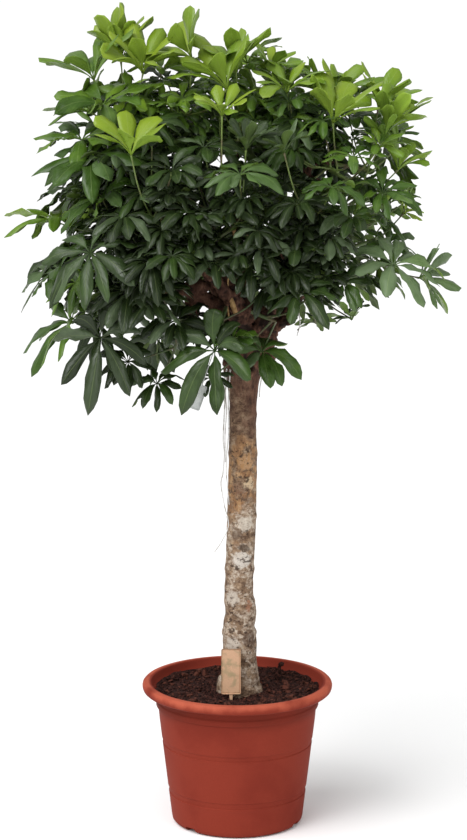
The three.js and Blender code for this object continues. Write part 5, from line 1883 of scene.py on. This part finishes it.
@dataclass
class Wood:
    """The trunk, its swollen knot, the limbs and the woody feet of the shoots."""

    buried: float = 120
    buried_radius: float = 48
    grain: float = 3.6
    soften: float = 0.6
    folds: float = 30
    fold_noise: tuple = (0.9, 2.1, 4, 1, 2)
    fold_depth: float = 1.9
    root_radii: tuple = (1.9, 0.9)
    scars: tuple = ((460, 7, 3.2), (536, 6, 1.6), (615, 9, 2.2), (742, 7, 1.4), (890, 8, 1.6), (985, 7, 1.5))

    def trunk_line(self) -> Array:
        """Returns the trunk's middle line with its radius as the fourth number."""
        rows = [(VIEW.at(241, 692, 0)[0], 0, self.buried, self.buried_radius)]
        for left, right, v in TRUNK_EDGES:
            a, b = VIEW.at(left, v, 0), VIEW.at(right, v, 0)
            rows.append(((a[0] + b[0]) / 2, 0, a[2], (b[0] - a[0]) / 2))
        return np.array(rows)

    def lumps(self) -> list[Piece]:
        """Models the lumps of the knot."""
        made = []
        for u, v, y, across, deep, high in KNOT:
            deselect()
            place = VIEW.at(u, v, y) * MM
            bpy.ops.mesh.primitive_uv_sphere_add(segments=24, ring_count=14, radius=1, location=place)
            obj = name_active("lump")
            obj.scale = (across * MM, deep * MM, high * MM)
            settle(obj)
            made.append(obj)
        return made

    def build(self, sprays: list[Spray]) -> None:
        """Fuses trunk, limbs, knot and twigs into one body and gives it bark.

        Args:
            sprays: The shoots, whose twigs are part of the wood.
        """
        paths = [curved(self.trunk_line(), 4)]
        paths += [curved(VIEW.tube(bends), 7) for bends in LIMBS.values()]
        paths += [curved(VIEW.tube(bends), 5) for bends in RIDGES]
        for spray in sprays:
            start, seat = spray.twig
            paths.append(np.array([np.r_[start, STEM.twig], np.r_[seat, STEM.root + 0.4]]))
        obj = join([tubes(paths, "limbs", 5)] + self.lumps(), "stock_and_limbs")
        grown = obj.modifiers.new("grown", "REMESH")
        grown.mode = "VOXEL"
        grown.voxel_size = self.grain * MM
        soft = obj.modifiers.new("soft", "SMOOTH")
        soft.factor = self.soften
        soft.iterations = 3
        apply_modifiers(obj)
        self.roughen(obj)
        smooth(obj)
        coat(obj, BARK)
        adopt(obj, "bark", "trunk")
        adopt(self.roots(), "bark")
        adopt(self.canes(), "bark")

    def roughen(self, obj: Piece) -> None:
        """Moves the wood's corners in and out: low waves, ridges and swellings of the bark.

        Args:
            obj: The wood, which also gets the mask of its hollows, where the material paints shade.
        """
        co = coordinates(obj)
        normals = np.empty(len(co) * 3)
        obj.data.vertex_normals.foreach_get("vector", normals)
        normals = normals.reshape(-1, 3)
        x, y, z = (co / MM).T
        turn = np.arctan2(y, x)
        broad = np.sin(z / 41 + 2 * turn) + np.sin(z / 23 - turn + 1.1) + 0.7 * np.sin(z / 67 + 3 * turn)
        knots = np.sin(x / 9 + z / 17) * np.sin(y / 8 - z / 13) + 0.6 * np.sin(x / 5.1 + y / 4.3 + z / 9.7)
        scars = sum(rise * np.exp(-(((z - at) / wide) ** 2)) for at, wide, rise in self.scars)
        rings = np.sin(z / 5.3 + 1.7 * np.sin(turn * 2) + np.sin(z / 31)) ** 3
        upper = smoothstep(1050, 1120, z)
        places = co / MM / self.folds
        folds = np.array([noise.ridged_multi_fractal(Vector(p), *self.fold_noise) for p in places])
        folds = np.clip((folds - folds.mean()) / folds.std(), -1.8, 1.8)
        amount = scars + 0.45 * broad + 0.25 * rings * (1 - upper) + 0.35 * knots
        amount = amount + upper * (knots + self.fold_depth * folds)
        reshape(obj, co + normals * (amount * MM)[:, None])
        # mask of the folds' hollows, where the bark material paints shade
        set_values(obj, "painted_hollow_shade", upper * smoothstep(0.1, -1.1, folds))

    def roots(self) -> Piece:
        """Builds the thin aerial roots that hang down the trunk."""
        paths = []
        for bends in AERIAL_ROOTS:
            rows = np.c_[VIEW.path(bends), np.linspace(*self.root_radii, len(bends))]
            paths.append(curved(rows, 8))
        return strands(paths, "aerial_roots", 1, OLD_ROOT)

    def canes(self) -> Piece:
        """Builds the split canes that prop the knot."""
        return strands([curved(VIEW.tube(bends), 5) for bends in SPLIT_CANES], "split_canes", 2, CANE)


@dataclass
class Label:
    """The plant label: a card on a stake that leans back toward the trunk."""

    width: float = 46
    length: float = 106
    thick: float = 1.6
    stake: float = 58
    stake_width: float = 9
    overlap: float = 10
    point: float = 0.25
    corner: float = 4
    border: float = 2.5
    groove: float = 0.3
    groove_depth: float = 0.2
    lean: float = 9
    foot: tuple = (231, 694, -68)

    def build(self) -> Piece:
        """Builds the card with rounded corners, a pointed stake and a plain raised border."""
        obj = box("label_card", (self.width, self.thick, self.length), (0, 0, self.length / 2))
        round_corners(obj, self.corner)
        with editing():
            bpy.ops.mesh.select_all(action="DESELECT")
        for face in obj.data.polygons:
            face.select = abs(face.normal.y) > 0.9
        with editing():
            bpy.ops.mesh.inset(thickness=self.border * MM, depth=0)
            bpy.ops.mesh.inset(thickness=self.groove * MM, depth=-self.groove_depth * MM)
        size = (self.stake_width, self.thick, self.stake + self.overlap)
        stake = box("stake", size, (0, 0, (self.overlap - self.stake) / 2))
        co = coordinates(stake)
        co[co[:, 2] < -0.01, 0] *= self.point
        reshape(stake, co)
        obj = join([obj, stake], "label_card")
        foot = VIEW.at(*self.foot) * MM
        lean = math.radians(self.lean)
        co = coordinates(obj) @ turn_matrix(-lean, 0, 0).T + foot
        reshape(obj, co)
        smooth(obj, 30)
        coat(obj, CARD)
        return adopt(obj, "label_card", "plant_label")


@dataclass
class HangTag:
    """The blank tag that hangs from a petiole on a strap and a ring."""

    width: float = 27
    length: float = 58
    thick: float = 1.2
    loop: float = 5
    wire: float = 1
    perch: float = 1.7
    before: float = 12
    neck: float = 4
    corner: float = 4
    end: tuple = (193.5, 409, -186)
    spray: int = 19

    def build(self, petiole: Array) -> Piece:
        """Builds ring, strap and plate below a petiole.

        Args:
            petiole: The petiole's foot, middle and hub.

        Returns:
            The tag.
        """
        along = unit(petiole[1] - petiole[0])
        place = petiole[1] - along * self.before
        place = place - np.array([0, 0, self.loop - self.wire - self.perch])
        end = VIEW.at(*self.end)
        down = unit(end - place)
        foot = unit(down - along * float(down @ along))
        beside = np.cross(along, foot)
        turns = np.linspace(0, 2 * math.pi, 25)
        ring_line = [
            np.r_[place + self.loop * (foot * math.cos(t) + beside * math.sin(t)), self.wire] for t in turns
        ]
        neck = end + down * (self.neck - self.length)
        strap = np.array([np.r_[place + foot * self.loop, self.wire], np.r_[neck, self.wire * 1.4]])
        loop = tubes([np.array(ring_line), curved(strap, 6)], "tag_loop", 2)
        plate = box("tag_plate", (self.width, self.thick, self.length))
        round_corners(plate, self.corner)
        turn = Vector((0, 0, -1)).rotation_difference(Vector(down)).to_matrix()
        middle = end - down * self.length / 2
        reshape(plate, coordinates(plate) @ np.array(turn).T + middle * MM)
        obj = join([plate, loop], "blank_hang_tag")
        smooth(obj, 40)
        coat(obj, TAG)
        return adopt(obj, "tag_plastic", "hang_tag")


# Leaves that close gaps near the knot and in the crown: shoot, u and v and depth, facing, length, tone.
FILLERS = [
    (19, (212, 328, -70), (-0.2, -0.6, 0.6), 80, -0.2), (26, (197, 316, -90), (-0.1, -0.5, 0.8), 66, -0.3),
    (19, (222, 333, -110), (0.2, -0.7, 0.4), 58, -0.1), (11, (166, 146, -70), (-0.1, -0.4, 1), 88, 0.2),
    (3, (190, 150, -60), (0.1, -0.3, 1), 84, 0.2), (3, (222, 152, -40), (0, -0.3, 1), 80, 0.1),
    (2, (228, 82, 90), (0, -0.3, 1), 66, 1.3), (1, (206, 84, 60), (-0.2, -0.3, 1), 60, 1.2),
    (13, (296, 186, -90), (0.1, -0.5, 0.8), 76, -0.2), (12, (220, 88, 40), (0.2, -0.4, 1), 76, 1.2),
    (6, (352, 140, -20), (0.1, -0.4, 1), 80, 0.6), (7, (368, 184, -60), (0.1, -0.5, 0.9), 72, 0.2),
    (1, (160, 84, 40), (-0.2, -0.4, 1), 74, 1.2),
]


@dataclass
class InnerLeaves:
    """Small leaves inside the crown, on petioles from the same stems: dark as painted shade of the crown's
    inside, lighter toward the top.
    """

    a_spray: int = 11
    near: tuple = (55, 130)
    lengths: tuple = (52, 88)
    opens: tuple = (62, 86)
    leaflets: tuple = (6, 9)
    # dark tones: painted shade inside the crown
    tones: tuple = (-0.7, 0.2)
    lighter_above: tuple = (1520, 1780)
    lighter_above_tone: float = 1.8
    sizes: tuple = (0.8, 1.05)
    turn_spread: float = 4
    cone_spread: float = 5
    filler_start: float = 0.7
    filler_open: float = 78
    filler_leaflets: int = 7
    crown: tuple = (385, 330, 300)
    lowest: float = -190
    rightmost: float = 210
    opening: tuple = ((-150, -400, 1140), (60, 130, 1350))
    seed: int = 63

    def grow(self, sprays: list[Spray], layout: Layout) -> None:
        """Adds leaves to every shoot where they stay inside the crown.

        Args:
            sprays: The shoots.
            layout: The layout, which places leaflets.
        """
        random = np.random.default_rng(self.seed)
        middle = VIEW.at(*BACK.middle)
        added = 0
        for spray in sprays:
            foot, fork = spray.stem
            for _ in range(self.a_spray):
                start = foot + (fork - foot) * random.uniform(0.15, 1)
                way = unit(unit(start - middle) * 0.5 + random.normal(0, 1, 3) * (1, 1, 0.7) + (0, 0, 0.25))
                hub = start + way * random.uniform(*self.near)
                off = (hub - middle) / self.crown
                if off @ off > 1 or off[2] < self.lowest / self.crown[2] or hub[0] > self.rightmost:
                    continue
                if np.all(hub > self.opening[0]) and np.all(hub < self.opening[1]):
                    continue
                facing = unit(way * 0.6 + random.normal(0, 0.35, 3) + (0, -0.15, 0.9))
                length = random.uniform(*self.lengths)
                count = int(random.integers(*self.leaflets))
                cone, turn = random.uniform(*self.opens), random.uniform(0, 360)
                leaf = Leaf(hub, facing, length, cone, count, turn, 0)
                # lighter toward the top: partly the young leaves' yellow-green, partly painted light from
                # above
                high = smoothstep(*self.lighter_above, hub[2])
                leaf.tone = random.uniform(*self.tones) + self.lighter_above_tone * high
                spray.leaves.append(self.spread(leaf, start, layout, random))
                added += 1
        for number, (u, v, y), facing, length, tone in FILLERS:
            spray = sprays[number]
            start = spray.stem[0] + (spray.stem[1] - spray.stem[0]) * self.filler_start
            hub, facing = VIEW.at(u, v, y), unit(facing)
            turn = random.uniform(0, 360)
            leaf = Leaf(hub, facing, length, self.filler_open, self.filler_leaflets, turn, tone)
            spray.leaves.append(self.spread(leaf, start, layout, random))
            added += 1
        LOG.info("inner leaves: %d", added)

    def spread(self, leaf: Leaf, start: Point, layout: Layout, random: np.random.Generator) -> Leaf:
        """Gives a leaf a petiole from its stem, and its leaflets.

        Args:
            leaf: The bare leaf.
            start: Where its petiole starts.
            layout: The layout, which places leaflets.
            random: The source of its small differences.
        """
        for _ in range(leaf.count):
            turn, cone = random.normal(0, self.turn_spread), random.normal(0, self.cone_spread)
            leaf.scatter.append((turn, cone, random.uniform(*self.sizes)))
        leaf.petiole, leaf.inner = bowed(start, leaf, (0, 0)), True
        leaf.blades = layout.blades(leaf)
        return leaf


@dataclass(frozen=True)
class Lamp:
    """A soft square light: its place and aim in metres, its width and its watts."""

    name: str
    place: tuple
    aim: tuple
    size: float
    power: float

    def hang(self) -> None:
        """Hangs the light, turned to what it shines at."""
        light = bpy.data.lights.new(self.name, "AREA")
        light.size = self.size
        light.energy = self.power
        obj = put(self.name, light)
        obj.location = self.place
        aim = Vector(self.aim) - Vector(self.place)
        obj.rotation_euler = aim.to_track_quat("-Z", "Y").to_euler()


@dataclass(frozen=True)
class Studio:
    """A plain pale floor and soft light, and the camera at the photograph's viewpoint."""

    floor_size: float = 190
    floor_white: float = 0.94
    floor_roughness: float = 0.9
    lamps: tuple = (
        Lamp("key", (-2.6, -3.4, 4.6), (0, 0, 1.2), 2.2, 80),
        Lamp("fill", (3.6, -3.2, 2.6), (0, 0, 1.0), 3.0, 65),
    )
    sky_power: float = 2.4
    sky_angle: float = 1.0
    sky_turn: tuple = (24, -30)
    room_light: float = 0.55
    lens_frame: float = 36
    far: float = 200

    def floor(self) -> None:
        """Lays the floor."""
        deselect()
        bpy.ops.mesh.primitive_plane_add(size=self.floor_size)
        floor = name_active("floor")
        material = bpy.data.materials.new("pale_floor")
        material.use_nodes = True
        shader = material.node_tree.nodes["Principled BSDF"]
        shader.inputs["Base Color"].default_value = (*[self.floor_white] * 3, 1)
        shader.inputs["Roughness"].default_value = self.floor_roughness
        floor.data.materials.append(material)

    def build(self) -> None:
        """Sets the floor, the lights, the pale surroundings and the camera."""
        self.floor()
        for lamp in self.lamps:
            lamp.hang()
        sky = bpy.data.lights.new("soft_sky", "SUN")
        sky.energy = self.sky_power
        sky.angle = self.sky_angle
        put("soft_sky", sky).rotation_euler = (*[math.radians(turn) for turn in self.sky_turn], 0)
        world = bpy.data.worlds.new("pale_room")
        world.use_nodes = True
        background = world.node_tree.nodes["Background"]
        background.inputs["Color"].default_value = (1, 1, 1, 1)
        background.inputs["Strength"].default_value = self.room_light
        bpy.context.scene.world = world
        bpy.context.scene.view_settings.view_transform = "Standard"
        camera = bpy.data.cameras.new("view")
        camera.sensor_fit = "VERTICAL"
        camera.sensor_height = self.lens_frame
        camera.lens = VIEW.focal / VIEW.frame_height * self.lens_frame
        camera.clip_end = self.far
        obj = put("view", camera)
        obj.location = (VIEW.aside * MM, -VIEW.distance * MM, VIEW.height * MM)
        obj.rotation_euler = (math.radians(90 - VIEW.pitch), 0, 0)
        bpy.context.scene.camera = obj


def main() -> None:
    """Builds every sub-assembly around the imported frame."""
    logging.basicConfig(level=logging.INFO, format="%(message)s")
    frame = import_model()
    Studio().build()
    layout = Layout(frame["nodes"])
    sprays = layout.find()
    hang_tag = HangTag()
    tagged = sprays[hang_tag.spray].leaves[0].petiole
    InnerLeaves().grow(sprays, layout)
    Container().build()
    SoilBed().build()
    Wood().build(sprays)
    Label().build()
    hang_tag.build(tagged)
    SprayBuilder(LeafletPattern(), LeafletPattern(columns=2, rows=7)).build(sprays, layout)


if __name__ == "__main__":
    main()
